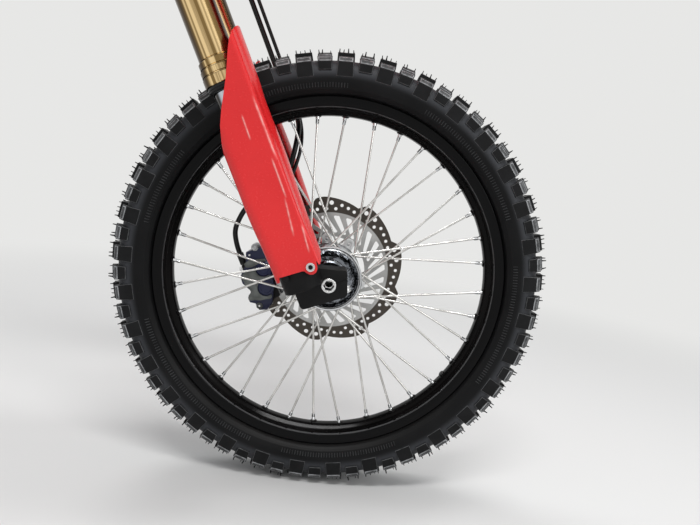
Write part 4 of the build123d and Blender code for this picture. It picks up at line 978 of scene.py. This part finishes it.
def makeSpoke(name, family):
    elbow, seat, head = spokeEnds(family)
    run = (seat - elbow).normalized()
    out = (head - elbow).normalized()
    alongRun, alongOut = [reach / 1000 for reach in spoke["bend"]]
    bendStart = elbow + run * alongRun
    bendEnd = elbow + out * alongOut
    path = [seat - run * back / 1000 for back in spoke["shank"]]
    path += [bendStart.lerp(path[-1], share) for share in spoke["between"]]
    steps = spoke["bendSteps"]
    path += [bend(bendStart, elbow, bendEnd, step / steps) for step in range(steps + 1)]
    path.append(head + out * spoke["headStart"] / 1000)
    points, faces = tubeAlong(path, [spoke["radius"] / 1000] * len(path), spoke["sides"])
    first = len(points)
    cap, capFaces = tubeAlong(
        [head + out * height / 1000 for height, radius in spoke["head"]],
        [radius / 1000 for height, radius in spoke["head"]], spoke["sides"],
    )
    points += cap
    faces += [tuple(first + corner for corner in face) for face in capFaces]
    return shiftToOrigin(makeObject(name, points, faces, spoke["sharp"]))


def makeNipple(name, seat, run):
    place = turnedAlong(seat - run * nipple["stand"] / 1000, run)
    points = []
    sides = nipple["sides"]
    for height, radius in nipple["profile"]:
        for side in range(sides):
            turn = 2 * math.pi * side / sides + math.pi / sides
            reach = radius
            if height < nipple["squareEnd"]:
                reach = min(radius, nipple["square"] / max(abs(math.cos(turn)), abs(math.sin(turn))))
            points.append(place(reach, height, math.degrees(turn)))
    faces = tubeFaces(len(nipple["profile"]), sides)
    return shiftToOrigin(makeObject(name, points, faces, nipple["sharp"]))


def makeDimple(way):
    radius, side = rim["dimplePlace"]
    inwards, sideways = rim["dimpleFacing"]
    place = turnedAlong(wheelPoint(radius, way * side), Vector((inwards, way * sideways, 0)))
    return shiftToOrigin(lathe("dimple", rim["dimple"], rim["dimpleSteps"], place, rim["dimpleSharp"]))


def dressRim():
    finishPiece(makeRim(), "rimBlack", "rim_black", "wheel", "rim")
    for name, family in spoke["families"].items():
        places = (spoke["count"], family[1], spoke["step"])
        dressRound(name, makeSpoke(name, family), "spokeSteel", "spoke_steel", family[0], places)
        elbow, seat = spokeEnds(family)[:2]
        run = (seat - elbow).normalized()
        label = name.replace("spokes", "nipples")
        seed = makeNipple(label, seat, run)
        dressRound(label, seed, "nippleSteel", "spoke_steel", "spoke_nipples", places, nipple["sharp"])
        loop = [(radius, -height) for radius, height in rim["collar"]]
        place = turnedAlong(seat, run)
        seed = shiftToOrigin(lathe("collar", loop, rim["collarSteps"], place, rim["collarSharp"]))
        dressRound(name.replace("spokes", "rimCollars"), seed, "rimBlack", "rim_black", "rim", places)
        for way in (1, -1):
            label = name.replace("spokes", "rimDimples") + sideWord(way)
            dressRound(label, makeDimple(way), "rimBlack", "rim_black", "rim", places, rim["dimpleSharp"])


dressRim()
print("rim, spokes and nipples dressed")


# Hub: a turned body and six disc ears

hub = {
    "steps": 128,
    "sharp": 40,
    "loop": [
        (21.05, -38.0), (26, -38.0), (26.8, -35.0), (28.4, -33.2), (34, -32.6), (39, -33.2), (43.2, -34.9),
        (46.4, -37.2), (47.4, -38.1), (48.2, -38.5), (50.4, -38.5), (51.0, -37.9), (51.0, -35.2),
        (50.4, -34.6), (44.5, -34.6), (43, -33.4), (43, -30.2), (43.6, -29.0), (49.9, -29.0), (50.5, -28.4),
        (50.5, -25.6), (49.9, -25.0), (41, -25.0), (34, -21), (27, -15), (23.6, -7), (23, 0), (23.6, 8),
        (27, 16), (34, 22.4), (41, 26.4), (49.9, 26.4), (50.5, 27.0), (50.5, 29.8), (49.9, 30.4),
        (39, 30.4), (36, 32), (34.2, 36), (34, 49.4), (33.4, 50.0), (23.2, 50.0), (21.1, 48.0), (21.05, 34),
        (13, 33.9), (13, -26), (21.05, -26),
    ],
    "earRoot": [(27, -14.5), (30, -13), (50, -9.2)],
    "earEnd": (56.0, 9.0),  # place and radius of its round end
    "earArc": (-75, 75),
    "earHole": 3.05,
    "earHoleSteps": 20,
    "earSides": (43.5, 52.9),
    "earBevel": 0.8,
    "earSharp": 30,
    "earAngles": (62.0, 103.0),
    "earGroups": 3,
}


def dressHub():
    body = lathe("hubBody", hub["loop"], hub["steps"], wheelPoint, hub["sharp"])
    finishPiece(body, "hubMirror", "hub_alloy", "wheel", "hub")
    circle, endRadius = hub["earEnd"]
    outline = hub["earRoot"] + arcLoop(circle, 0, endRadius, *hub["earArc"])
    outline += [(across, -up) for across, up in reversed(hub["earRoot"])]
    hole = circleLoop(circle, 0, hub["earHole"], hub["earHoleSteps"])
    for number, angle in enumerate(hub["earAngles"]):
        ear = flatPlate("ear", [outline, hole], *hub["earSides"], hub["earBevel"], uprightOnWheel)
        places = (hub["earGroups"], angle, 360 / hub["earGroups"])
        label = "hubEars" + str(number + 1)
        seed = shiftToOrigin(ear)
        dressRound(label, seed, "earAlloy", "hub_alloy", "hub", places, hub["earSharp"])


dressHub()
print("hub dressed")


# Fork tubes and dust seals

goldTube = {
    "steps": 128,
    "sharp": 25,
    "foot": 311.0,
    "rings": [(325.0, 29.6), (335.3, 28.9), (346.0, 27.6)],  # groove's place, radius below it
    "radius": 25.1,
    "grooveDepth": 0.9,
    "grooveWidth": 1.4,
    "clamp": (650.0, 664.0, 891.0, 27.0),  # start, full width, end, radius
    "neck": (905.0, 958.0, 25.6),  # start, end, radius
    "bore": 22.4,
    "chamfer": 0.8,
    "grooveChamfer": 0.7,
    "stepChamfer": 0.6,
}


def makeGoldTube(name, hand):
    low = goldTube["foot"]
    chamfer, step = goldTube["chamfer"], goldTube["stepChamfer"]
    loop = [(goldTube["bore"], low + chamfer), (goldTube["bore"] + chamfer, low)]
    radii = [radius for place, radius in goldTube["rings"][1:]] + [goldTube["radius"]]
    for (place, radius), above in zip(goldTube["rings"], radii):
        high = place - goldTube["grooveWidth"] / 2
        groove = above - goldTube["grooveDepth"]
        loop += [
            (radius - chamfer, low), (radius, low + chamfer),
            (radius, high - goldTube["grooveChamfer"]), (radius - goldTube["grooveChamfer"], high),
            (groove, high), (groove, high + goldTube["grooveWidth"]),
        ]
        low = high + goldTube["grooveWidth"]
    start, full, end, grip = goldTube["clamp"]
    neckStart, neckEnd, neckRadius = goldTube["neck"]
    loop += [
        (goldTube["radius"] - step, low), (goldTube["radius"], low + step), (goldTube["radius"], start),
        (grip, full), (grip, end), (neckRadius, neckStart), (neckRadius, neckEnd - chamfer),
        (neckRadius - chamfer, neckEnd), (goldTube["bore"], neckEnd),
    ]
    return lathe(name, loop, goldTube["steps"], turnedUpFork(legAhead, hand * legSide), goldTube["sharp"])


dustSeal = {
    "steps": 96,
    "sharp": 30,
    # radius and distance below the outer tube's foot
    "loop": [
        (21.55, 0.05), (27.4, 0.05), (28.0, 0.6), (28.0, 3.6), (27.3, 4.2), (27.3, 4.9), (27.9, 5.4),
        (27.6, 6.6), (26.0, 7.9), (24.4, 9.0), (22.6, 9.05), (21.55, 8.2),
    ],
}


def dressTubes():
    for word, hand in legs.items():
        tube = makeGoldTube("outerTube" + word, hand)
        finishPiece(tube, "goldAnodised", "gold_anodised", "fork", "outer_tube_" + word.lower())
        loop = [(radius, goldTube["foot"] - below) for radius, below in dustSeal["loop"]]
        place = turnedUpFork(legAhead, hand * legSide)
        seal = lathe("dustSeal" + word, loop, dustSeal["steps"], place, dustSeal["sharp"])
        finishPiece(seal, "sealRubber", "seal_rubber", "fork", "dust_seal_" + word.lower())


dressTubes()
print("tubes dressed")


# Fork guards: one smooth moulded wall each, cut to its outline

guard = {
    "wall": 2.6,
    "rounding": 0.7,
    "roundAngle": 55,
    "outerSide": 34.2,  # beyond the leg's axis
    "flatMargin": (0.3, 1.0),  # what still counts as the flat, before and after the wall is made
    "rows": 190,
    "searchFrom": (40.0, 300.0),  # first guesses of a column's ends
    "searchTurns": 8,
    # one section, from the front round the shoulder and the flat to the rear edge
    "frontTurn": 30.0,
    "frontSteps": 16,
    "frontRun": (0, 0.33, 0.67),  # shares of the straight from there to the shoulder
    "shoulder": 3.0,  # half its width
    "shoulderRun": 5.0,
    "shoulderSteps": 10,
    "flatSteps": 56,
    "rearRun": 16.0,
    "rearPull": 0.6,
    "rearSteps": 14,
    "skinBlend": 9.0,  # the skin's lower end is cut by one outline, the wrap's by another
    # along the fork, wrap radius, place of the shoulder, place of the rear edge
    "sections": [
        (20, 41.0, 0.5, -66.5), (46, 41.0, 0.0, -66.5), (72, 41.0, -0.8, -67.3), (105, 41.3, -2.8, -69.0),
        (134, 41.6, -3.2, -70.2), (200, 43.1, -3.4, -69.8), (275, 42.0, -3.6, -69.8),
        (300, 43.5, -3.6, -69.8), (380, 44.0, -3.6, -69.8),
    ],
    # outlines seen from the side, (ahead, along)
    "upperEnd": [
        (-75, 200), (-66, 234), (-58, 258), (-49, 276), (-39.8, 292), (-30.7, 308), (-22.4, 324),
        (-12, 345.7), (-6.2, 356.2), (-3.5, 359.5), (-0.6, 362.8), (2.5, 367.5), (5, 371), (7.5, 374),
        (10, 376), (24, 376),
    ],
    "skinEnd": [
        (-75, 32), (-61.5, 32), (-60, 39.3), (-24, 37.2), (-21.6, 36.0), (-19.6, 32.6), (-16.4, 29.2),
        (-11.8, 27.9), (-7.2, 29.2), (-4.0, 32.6), (-2.6, 38), (-1.9, 44), (-0.9, 44), (-0.2, 38), (3, 39),
        (6, 43), (9, 49), (20, 60),
    ],
    "wrapEnd": [(-75, 32.5), (-3.4, 32.5), (0.9, 37), (3.4, 44.5), (7.5, 52), (20, 60), (24, 66)],
    # raised moulded lines, also painted with a highlight along them: from (ahead, along) to (ahead, along),
    # height, half width
    "creases": [
        ((-26.0, 262.0), (-27.0, 226.0), 0.8, 0.9),
        ((-9.0, 196.0), (-9.6, 138.0), 0.8, 1.0),
        ((-11.4, 140.0), (-18.4, 86.0), 0.8, 1.0),
        ((-2.8, 99.0), (-6.5, 58.0), 0.8, 1.0),
        ((-3.6, 280.0), (-3.4, 190.0), 0.7, 1.2),
    ],
    "creaseFade": 6,
    # how strongly the moulded lines are painted as a highlight
    "creaseHighlight": 1.3,
}


def lineValue(points, place):
    # Height of a line of points at a place, the ends held level
    if place <= points[0][0]:
        return points[0][1]
    for (x, y), (nextX, nextY) in zip(points, points[1:]):
        if place <= nextX:
            return y + (nextY - y) * (place - x) / (nextX - x)
    return points[-1][1]


def limited(value):
    return min(max(value, 0), 1)


def sectionValues(along):
    # Wrap radius, shoulder and rear edge at a height
    sections = guard["sections"]
    index = 0
    while index < len(sections) - 2 and along > sections[index + 1][0]:
        index += 1
    around = rowsAround(sections, index)
    start, end = around[1][0], around[2][0]
    share = limited((along - start) / (end - start))
    return [between(*[section[column] for section in around], share) for column in (1, 2, 3)]


def guardBand(along):
    # One section of the guard's outer face as (ahead, out from the leg's axis)
    wrap, shoulder, rear = sectionValues(along)
    out = guard["outerSide"]
    steps = guard["frontSteps"]
    points = []
    for step in range(steps + 1):
        turn = math.radians(guard["frontTurn"] * (2 * step / steps - 1))
        points.append(Vector((wrap * math.cos(turn) + legAhead, wrap * math.sin(turn))))
    frontEnd = points.pop()
    corner = Vector((shoulder + guard["shoulder"], out))
    cornerStart = corner + (frontEnd - corner).normalized() * guard["shoulderRun"]
    cornerEnd = Vector((shoulder - guard["shoulder"], out))
    rearStart = Vector((rear + guard["rearRun"], out))
    rearEnd = Vector((rear, out - guard["rearRun"]))
    rearCorner = Vector((rear + guard["rearPull"], out - guard["rearPull"]))
    points += [frontEnd.lerp(cornerStart, share) for share in guard["frontRun"]]
    steps = guard["shoulderSteps"]
    points += [bend(cornerStart, corner, cornerEnd, step / steps) for step in range(steps)]
    steps = guard["flatSteps"]
    points += [cornerEnd.lerp(rearStart, step / steps) for step in range(steps)]
    steps = guard["rearSteps"]
    points += [bend(rearStart, rearCorner, rearEnd, step / steps) for step in range(steps)]
    return points + [rearEnd]


def creaseHeight(ahead, along):
    height = 0.0
    here = Vector((ahead, along))
    for start, end, rise, half in guard["creases"]:
        first, run = Vector(start), Vector(end) - Vector(start)
        share = (here - first).dot(run) / run.length_squared
        away = (here - first - run * limited(share)).length / half
        fade = limited(share * guard["creaseFade"]) * limited((1 - share) * guard["creaseFade"])
        height += rise * fade * math.exp(-away * away)
    return height


def guardEnds(column):
    # Where a column of the guard ends above and below: each outline depends on
    # the place ahead, and that place on the height, so it is found in a few turns
    foot, top = guard["searchFrom"]
    for turn in range(guard["searchTurns"]):
        top = lineValue(guard["upperEnd"], guardBand(top)[column].x)
        point = guardBand(foot)[column]
        blend = limited((point.y - guard["skinBlend"]) / guard["skinBlend"])
        blend = blend * blend * (3 - 2 * blend)
        wrapEnd = lineValue(guard["wrapEnd"], point.x)
        foot = (1 - blend) * wrapEnd + blend * lineValue(guard["skinEnd"], point.x)
    return foot, top


def makeGuard(name, hand):
    columns = len(guardBand(200))
    ends = [guardEnds(column) for column in range(columns)]
    bands = {}
    points = []
    rows = guard["rows"]
    for row in range(rows + 1):
        for column, (foot, top) in enumerate(ends):
            along = foot + (top - foot) * row / rows
            key = round(along * 2)
            if key not in bands:
                bands[key] = guardBand(key / 2)
            ahead, out = bands[key][column]
            if out > guard["outerSide"] - guard["flatMargin"][0]:
                out += creaseHeight(ahead, along)
            points.append(forkPoint(ahead, hand * (legSide + out), along))
    sheet = makeObject(name, points, gridFaces(rows + 1, columns))
    onFlat = sheet.data.polygons[(rows // 2) * (columns - 1) + columns // 2]
    if onFlat.normal.y * hand < 0:
        sheet.data.flip_normals()
    baked = thicken(name, sheet, guard["wall"], guard["rounding"], guard["roundAngle"])
    # the moulded lines are painted lighter as a highlight
    mark = baked.data.attributes.new("edge", "FLOAT", "POINT")
    back = forkTurn.inverted()
    for vertex in baked.data.vertices:
        ahead, side, along = back @ (vertex.co - axle) * 1000
        if abs(side) > legSide + guard["outerSide"] - guard["flatMargin"][1]:
            mark.data[vertex.index].value = min(creaseHeight(ahead, along) * guard["creaseHighlight"], 1.0)
    return baked


guide = {
    "corners": [(8.4, 90.6), (48.3, 90.6), (48.3, 103.4), (8.4, 103.4)],
    "cornerRadius": 4.0,
    "along": (344.0, 356.0),
    "bevel": 0.6,
    "holes": [(31.7, 97.0, 4.65), (43.3, 97.0, 3.25)],
}


def dressGuards():
    for word, hand in legs.items():
        wall = makeGuard("forkGuard" + word, hand)
        finishPiece(wall, "guardRed", "guard_red", "fork", "fork_guard_" + word.lower())
    outline = roundedLoop(guide["corners"], guide["cornerRadius"])
    holes = [circleLoop(*hole) for hole in guide["holes"]]
    block = flatPlate("hoseGuide", [outline] + holes, *guide["along"], guide["bevel"], forkPoint)
    finishPiece(block, "guardRed", "guard_red", "fork", "fork_guard_left")


dressGuards()
print("guards dressed")


# A dark disc of painted shade for the socket in each guard screw's head

socketShade = {
    "steps": 24,
    "sharp": 30,
    "place": (-11.8, 38.9),
    # radius and side
    "loop": [
        (0, 133.4), (3.1, 133.4), (3.1, 134.04), (2.9, 134.1), (2.6, 134.02), (2.4, 133.8), (0.9, 133.75),
        (0.8, 134.0), (0, 134.0),
    ],
}


def dressSocketShades():
    loop, steps, sharp = [socketShade[key] for key in ("loop", "steps", "sharp")]
    for word, hand in legs.items():
        place = turnedAcross(*socketShade["place"], hand)
        obj = lathe("socketShade" + word, loop, steps, place, sharp)
        finishPiece(obj, "castBlack", "bolt_steel", "fork")


dressSocketShades()


# A dark sheet of painted shade in each axle lug's pinch slit

lugSlit = {
    "ahead": (11.8, 27.0),
    "side": (92.5, 97.9),
    "along": (-1.2, 1.2),
}
boxFaces = [(0, 1, 3, 2), (4, 5, 7, 6), (0, 1, 5, 4), (2, 3, 7, 6), (0, 2, 6, 4), (1, 3, 7, 5)]


def dressLugSlits():
    for word, hand in legs.items():
        corners = [
            forkPoint(ahead, hand * side, along)
            for ahead in lugSlit["ahead"] for side in lugSlit["side"] for along in lugSlit["along"]
        ]
        obj = makeObject("slitShade" + word, corners, boxFaces)
        finishPiece(obj, "castBlack", "cast_black", "fork")


dressLugSlits()


# Fender: one smooth moulded shell with its mounting pad

fender = {
    "wall": 3.0,
    "rounding": 0.9,
    "roundAngle": 60,
    "rows": 150,
    "columns": 56,
    # from the wheel's centre: ahead, up, slope, half width, drop of the sides
    "stations": [
        (-520, 497, 50, 60, 20), (-440, 574, 36, 59, 17), (-377, 610, 27.5, 59, 14),
        (-300, 637, 13, 61, 18), (-150, 640, -8, 92, 26), (0, 601, -20, 98, 30), (120, 543, -31, 80, 26),
        (214, 472, -42, 30, 10),
    ],
    # shares of the length or of the half width
    "skirt": dict(start=0.88, drop=8.0),
    "tip": dict(start=0.88, length=0.1225),
    "heel": dict(width=0.86, growth=4),
    "ridge": dict(place=0.46, width=0.05, height=2.2, start=0.08, end=0.97, fade=8),
    "pad": dict(
        corners=[(-85, -42), (-11, -42), (-11, 42), (-85, 42)], along=(709.95, 719.95), radius=9, bevel=0.8),
    "bosses": [(-69, 28), (-69, -28), (-27, 28), (-27, -28)],
    "bossHole": (3.1, 16),  # radius and steps
    "bossSteps": 32,
    "bossLoop": [(3.1, 710.5), (3.1, 705.95), (8.4, 705.95), (9.0, 706.55), (9.0, 710.5)],
}


def fenderStation(share):
    # Smooth values between the stations
    place = share * (len(fender["stations"]) - 1)
    index = min(int(place), len(fender["stations"]) - 2)
    around = rowsAround(fender["stations"], index)
    return [between(*values, place - index) for values in zip(*around)]


def fenderPoint(share, across):
    ahead, up, slope, half, drop = fenderStation(share)
    skirt, tip, heel, ridge = [fender[key] for key in ("skirt", "tip", "heel", "ridge")]
    narrow = math.sqrt(1 - (max(0.0, share - tip["start"]) / tip["length"]) ** 4)
    widen = min(1.0, heel["width"] + share * heel["growth"])
    half *= narrow * widen
    drop *= narrow * narrow
    side = half * min(max(across / skirt["start"], -1), 1)
    # Arc through the crown and the two edges
    radius = (half * half + drop * drop) / (2 * drop)
    height = math.sqrt(max(radius * radius - side * side, 0)) - radius
    place = abs(across)
    fade = limited((share - ridge["start"]) * ridge["fade"]) * limited((ridge["end"] - share) * ridge["fade"])
    height += ridge["height"] * fade * math.exp(-((place - ridge["place"]) / ridge["width"]) ** 2)
    if place > skirt["start"]:
        height -= skirt["drop"] * narrow * (place - skirt["start"]) / (1 - skirt["start"])
    slope = math.radians(slope)
    return axle + Vector((ahead - math.sin(slope) * height, side, up + math.cos(slope) * height)) / 1000


def dressFender():
    rows, columns = fender["rows"], fender["columns"]
    points = [
        fenderPoint(row / rows, column / columns * 2 - 1)
        for row in range(rows + 1) for column in range(columns + 1)
    ]
    sheet = makeObject("fenderShell", points, gridFaces(rows + 1, columns + 1))
    onCrown = sheet.data.polygons[(rows // 2) * columns + columns // 2]
    if onCrown.normal.z < 0:
        sheet.data.flip_normals()
    shell = thicken("fenderShell", sheet, fender["wall"], fender["rounding"], fender["roundAngle"])
    finishPiece(shell, "guardRed", "fender_red", "fork", "front_fender")
    pad = fender["pad"]
    loops = [roundedLoop(pad["corners"], pad["radius"])]
    hole, steps = fender["bossHole"]
    loops += [circleLoop(*place, hole, steps) for place in fender["bosses"]]
    plate = flatPlate("fenderPad", loops, *pad["along"], pad["bevel"], forkPoint)
    finishPiece(plate, "guardRed", "fender_red", "fork", "front_fender")
    for number, place in enumerate(fender["bosses"]):
        label = "fenderBoss" + str(number + 1)
        boss = lathe(label, fender["bossLoop"], fender["bossSteps"], turnedUpFork(*place))
        finishPiece(boss, "guardRed", "fender_red", "fork", "front_fender")


dressFender()
print("fender dressed")


# Caliper: the rounded body with its machined cast faces on the wheel's side

caliper = {
    "rounding": 1.2,
    "face": 36.0,
    "sides": (33.6, 36.4),  # of the raised faces
    "bevels": (0.7, 0.6),  # of the band and of the lobes
    "bandRadius": 2.0,
    "band": [
        (-132.1, 62.6), (-121.2, 65.7), (-110.6, 63.1), (-94.3, 58.5), (-94.7, 54.1), (-104.4, 55.7),
        (-113.0, 53.6), (-121.1, 52.7), (-130.6, 54.9),
    ],
    "lobes": [
        (-119.0, 50.0), (-130.7, 49.7), (-140.3, 46.7), (-144.7, 40.5), (-142.9, 33.3), (-143.5, 26.9),
        (-138.6, 21.2), (-138.3, 11.9), (-143.7, 9.9), (-147.0, 3.1), (-144.5, -0.4), (-136.0, -2.2),
        (-128.3, -5.7), (-119.6, -6.9), (-111.2, -8.7), (-107.0, -6.2),
    ],
    "notch": [(-97.5, 24.5), (-96.5, 29.5)],  # between the two pots
    "pots": [(-103.9, 43.8, 13.8), (-111.9, 11.4, 14.2)],  # ahead, along, radius
    "potArcs": [(285, 145), (290, 60)],  # the part of each on the outline of the lobes
    "potEdge": 0.8,
    "potSteps": 48,
    "endSteps": 28,
    "sharp": 30,
    "potLoop": [(14.0, 0.0), (11.6, 1.0), (9.4, 1.0), (8.6, 0.2), (0, 0.2), (0, -2.0), (14.0, -2.0)],
}
# ahead and along, finish, and a loop of radius and side
caliperEnds = {
    "slideBossLow": ((-133.4, -13.8), "caliperGrey", [
        (0, 36.6), (2.0, 36.6), (2.3, 35.4), (3.6, 35.4), (4.4, 34.2), (5.4, 34.4), (5.6, 36), (5.6, 52),
        (0, 52),
    ]),
    "slidePinLow": ((-133.4, -13.8), "boltSteel", [(0, 34.0), (1.6, 34.0), (2.0, 34.5), (2.0, 37), (0, 37)]),
    "slideBossHigh": ((-104.6, 82.5), "bracketAlloy", [
        (0, 36.6), (2.8, 36.6), (3.2, 35.4), (4.6, 34.6), (5.8, 35.0), (6.2, 36), (6.2, 60), (0, 60),
    ]),
    "bleedScrew": ((-117.7, 73.2), "boltSteel", [(0, 34.8), (1.4, 34.8), (1.9, 35.3), (1.9, 38), (0, 38)]),
}


def dressCaliper():
    body = crispCopy("caliperBody", "caliper_body", caliper["rounding"])
    finishPiece(body, "caliperBlue", "caliper_blue", "fork", "caliper_body")
    outline = roundedLoop(caliper["band"], caliper["bandRadius"])
    bevel, lobeBevel = caliper["bevels"]
    band = flatPlate("caliperBand", [outline], *caliper["sides"], bevel, uprightOnFork)
    finishPiece(band, "caliperGrey", "bracket_alloy", "fork", "caliper_body")
    upper, lower = [arcLoop(*pot, *arc) for pot, arc in zip(caliper["pots"], caliper["potArcs"])]
    outline = caliper["lobes"] + lower + caliper["notch"] + upper
    lobes = flatPlate("caliperLobes", [outline], *caliper["sides"], lobeBevel, uprightOnFork)
    finishPiece(lobes, "caliperGrey", "bracket_alloy", "fork", "caliper_body")
    for number, (ahead, along, radius) in enumerate(caliper["pots"]):
        loop = [(min(size, radius - caliper["potEdge"]), height) for size, height in caliper["potLoop"]]
        place = turnedAlong(forkPoint(ahead, caliper["face"], along), Vector((0, -1, 0)))
        pot = lathe("caliperPot" + str(number + 1), loop, caliper["potSteps"], place, caliper["sharp"])
        finishPiece(pot, "caliperBlue", "caliper_blue", "fork", "caliper_body")
    for name, (place, look, loop) in caliperEnds.items():
        obj = lathe(name, loop, caliper["endSteps"], turnedAcross(*place), caliper["sharp"])
        finishPiece(obj, look, "bracket_alloy", "fork", "caliper_body")


dressCaliper()
print("caliper dressed")


# The other castings, bolts and holders: rounded copies of the CAD nodes

roundedNodes = {
    # node: finish, rounding
    "fork_bottom_right": ("castBlack", 1.6),
    "fork_bottom_left": ("castBlack", 1.6),
    "axle": ("boltSteel", 0.5),
    "axle_nut": ("boltSteel", 0.8),
    "caliper_bracket": ("bracketAlloy", 0.9),
    "lower_clamp": ("bracketAlloy", 1.8),
    "upper_clamp": ("bracketAlloy", 1.8),
    "fork_cap_right": ("bracketAlloy", 0.8),
    "fork_cap_left": ("bracketAlloy", 0.8),
    "stem_nut": ("bracketAlloy", 0.8),
    "guard_screws": ("boltSteel", 0.9),
    "pinch_bolts": ("boltSteel", 0.6),
    "bracket_bolts": ("boltSteel", 0.6),
    "disc_bolts": ("boltSteel", 0.4),
    "lower_clamp_bolts": ("boltSteel", 0.7),
    "upper_clamp_bolts": ("boltSteel", 0.7),
    "fender_bolts": ("boltSteel", 0.6),
    "holder_screws": ("boltSteel", 0.5),
    "hose_holders": ("holderBlack", 0.6),
    "hose_fittings": ("holderBlack", 0.6),
    "banjo_bolt": ("boltSteel", 0.6),
    "speed_sensor": ("holderBlack", 0.6),
    "lead_plug": ("holderBlack", 0.6),
    "tyre_valve": ("boltSteel", 0.4),
    "rim_plug": ("sealRubber", 0.4),
}
plainNodes = {
    "brake_disc": "discSteel",
    "inner_tube_right": "tubeChrome",
    "inner_tube_left": "tubeChrome",
    "wheel_collars": "boltSteel",
    "wheel_bearings": "boltSteel",
    "bearing_seals": "sealRubber",
    "brake_pads": "castBlack",
    "slide_pins": "boltSteel",
    "steering_stem": "boltSteel",
    "brake_hose": "hoseRubber",
    "sensor_lead": "hoseRubber",
}
slots = {part["node"]: part["material_slot"] for part in frame["record"]["subparts"]}
wheelNodes = frame["record"]["behaviour"]["bodies"]["wheel"]


def pieceName(node):
    first, *others = node.split("_")
    return first + "".join(word.capitalize() for word in others)


for node, (look, width) in roundedNodes.items():
    body = "wheel" if node in wheelNodes else "fork"
    finishPiece(crispCopy(pieceName(node), node, width), look, slots[node], body, node)
for node, look in plainNodes.items():
    nodes[node].data.materials.clear()
    nodes[node].data.materials.append(materials[look])
print("castings, bolts and holders dressed")


# Floor, light and camera

room = {
    "floorColour": (0.74, 0.735, 0.725),
    "floorRough": 0.7,
    "floorSize": 40.0,
    "floorDrop": 0.3466,  # below the axle
    "fade": (0.9, 2.6),  # from here to here the floor turns into the background
    "worldColour": (0.95, 0.97, 1.0),
    "worldStrength": 0.42,
    "backColour": (0.80, 0.80, 0.79),
}


def seenRays(tree):
    # 1 for what the camera, metal and glass see, 0 for the light on the object
    rays = addNode(tree, "ShaderNodeLightPath").outputs
    first = addMath(tree, "MAXIMUM", rays["Is Camera Ray"], rays["Is Glossy Ray"])
    return addMath(tree, "MAXIMUM", first, rays["Is Transmission Ray"])


def makeFloor():
    half = room["floorSize"] / 2
    low = axle.z - room["floorDrop"]
    mesh = bpy.data.meshes.new("studioFloor")
    corners = [(-half, -half, low), (half, -half, low), (half, half, low), (-half, half, low)]
    mesh.from_pydata(corners, [], [(0, 1, 2, 3)])
    mat = bpy.data.materials.new("floorPaint")
    mat.use_nodes = True
    tree = mat.node_tree
    shader = tree.nodes["Principled BSDF"]
    shader.inputs["Base Color"].default_value = (*room["floorColour"], 1)
    shader.inputs["Roughness"].default_value = room["floorRough"]
    away = addVectorMath(tree, "DISTANCE", objectPlace(tree), (axle.x, axle.y, low))
    amount = addMath(tree, "MULTIPLY", stepBetween(tree, away, *room["fade"]), seenRays(tree))
    shown = addNode(tree, "ShaderNodeEmission", {"Color": (*room["backColour"], 1)})
    mix = addNode(tree, "ShaderNodeMixShader", {"Fac": amount, 1: shader.outputs[0], 2: shown.outputs[0]})
    tree.links.new(mix.outputs[0], tree.nodes["Material Output"].inputs["Surface"])
    mesh.materials.append(mat)
    floor = newObject("studioFloor", mesh)


def makeWorld():
    # Soft grey light, with the pale background where it is seen
    world = bpy.data.worlds.new("studioWorld")
    world.use_nodes = True
    tree = world.node_tree
    light = tree.nodes["Background"]
    light.inputs["Color"].default_value = (*room["worldColour"], 1)
    light.inputs["Strength"].default_value = room["worldStrength"]
    shown = addNode(tree, "ShaderNodeBackground", {"Color": (*room["backColour"], 1), "Strength": 1.0})
    mix = addNode(tree, "ShaderNodeMixShader", {
        "Fac": seenRays(tree), 1: light.outputs[0], 2: shown.outputs[0],
    })
    tree.links.new(mix.outputs[0], tree.nodes["World Output"].inputs["Surface"])
    bpy.context.scene.world = world


lamps = {
    "ceilingFront": dict(place=(0.5, -1.5, 2.2), aim=(0.3, 0, -0.6), size=(2.2, 0.35), power=50),
    "ceilingMiddle": dict(place=(1.2, 0.2, 2.3), aim=(0.3, 0, -0.6), size=(0.35, 1.8), power=24),
    "ceilingRear": dict(place=(-0.8, 1.2, 2.2), aim=(0.3, 0, -0.5), size=(1.6, 1.0), power=24),
    "sideFill": dict(place=(2.2, -1.6, 0.4), aim=(0.4, 0, -0.6), size=(1.2, 1.2), power=12),
}


def addLamp(name, place, aim, size, power):
    data = bpy.data.lights.new(name, "AREA")
    data.shape = "RECTANGLE"
    data.size, data.size_y = size
    data.energy = power
    lamp = newObject(name, data)
    lamp.location = place
    lamp.rotation_mode = "QUATERNION"
    lamp.rotation_quaternion = (Vector(aim) - Vector(place)).to_track_quat("-Z", "Y")


cameraFit = {
    "offset": (-0.00586, -0.85352, 0.13933),  # from the wheel's centre
    "yaw": -2.42,
    "pitch": -7.63,
    "roll": -7.68,
    "lens": 27.19,
    "sensor": 36.0,
    "clip": (0.01, 100.0),
}


def makeCamera():
    data = bpy.data.cameras.new("photoCamera")
    data.lens = cameraFit["lens"]
    data.sensor_width = cameraFit["sensor"]
    data.clip_start, data.clip_end = cameraFit["clip"]
    camera = newObject("photoCamera", data)
    turn = (
        Matrix.Rotation(math.radians(cameraFit["yaw"]), 3, "Z")
        @ Matrix.Rotation(math.radians(cameraFit["pitch"]), 3, "X")
        @ Matrix.Rotation(math.radians(cameraFit["roll"]), 3, "Y")
    )
    right, ahead, up = turn.col[0], turn.col[1], turn.col[2]
    pose = Matrix((right, up, -ahead)).transposed().to_4x4()
    pose.translation = axle + Vector(cameraFit["offset"])
    camera.matrix_world = pose
    bpy.context.scene.camera = camera


makeFloor()
makeWorld()
for name, lamp in lamps.items():
    addLamp(name, **lamp)
makeCamera()
bpy.context.scene.view_settings.view_transform = "Standard"
print("room and camera ready")
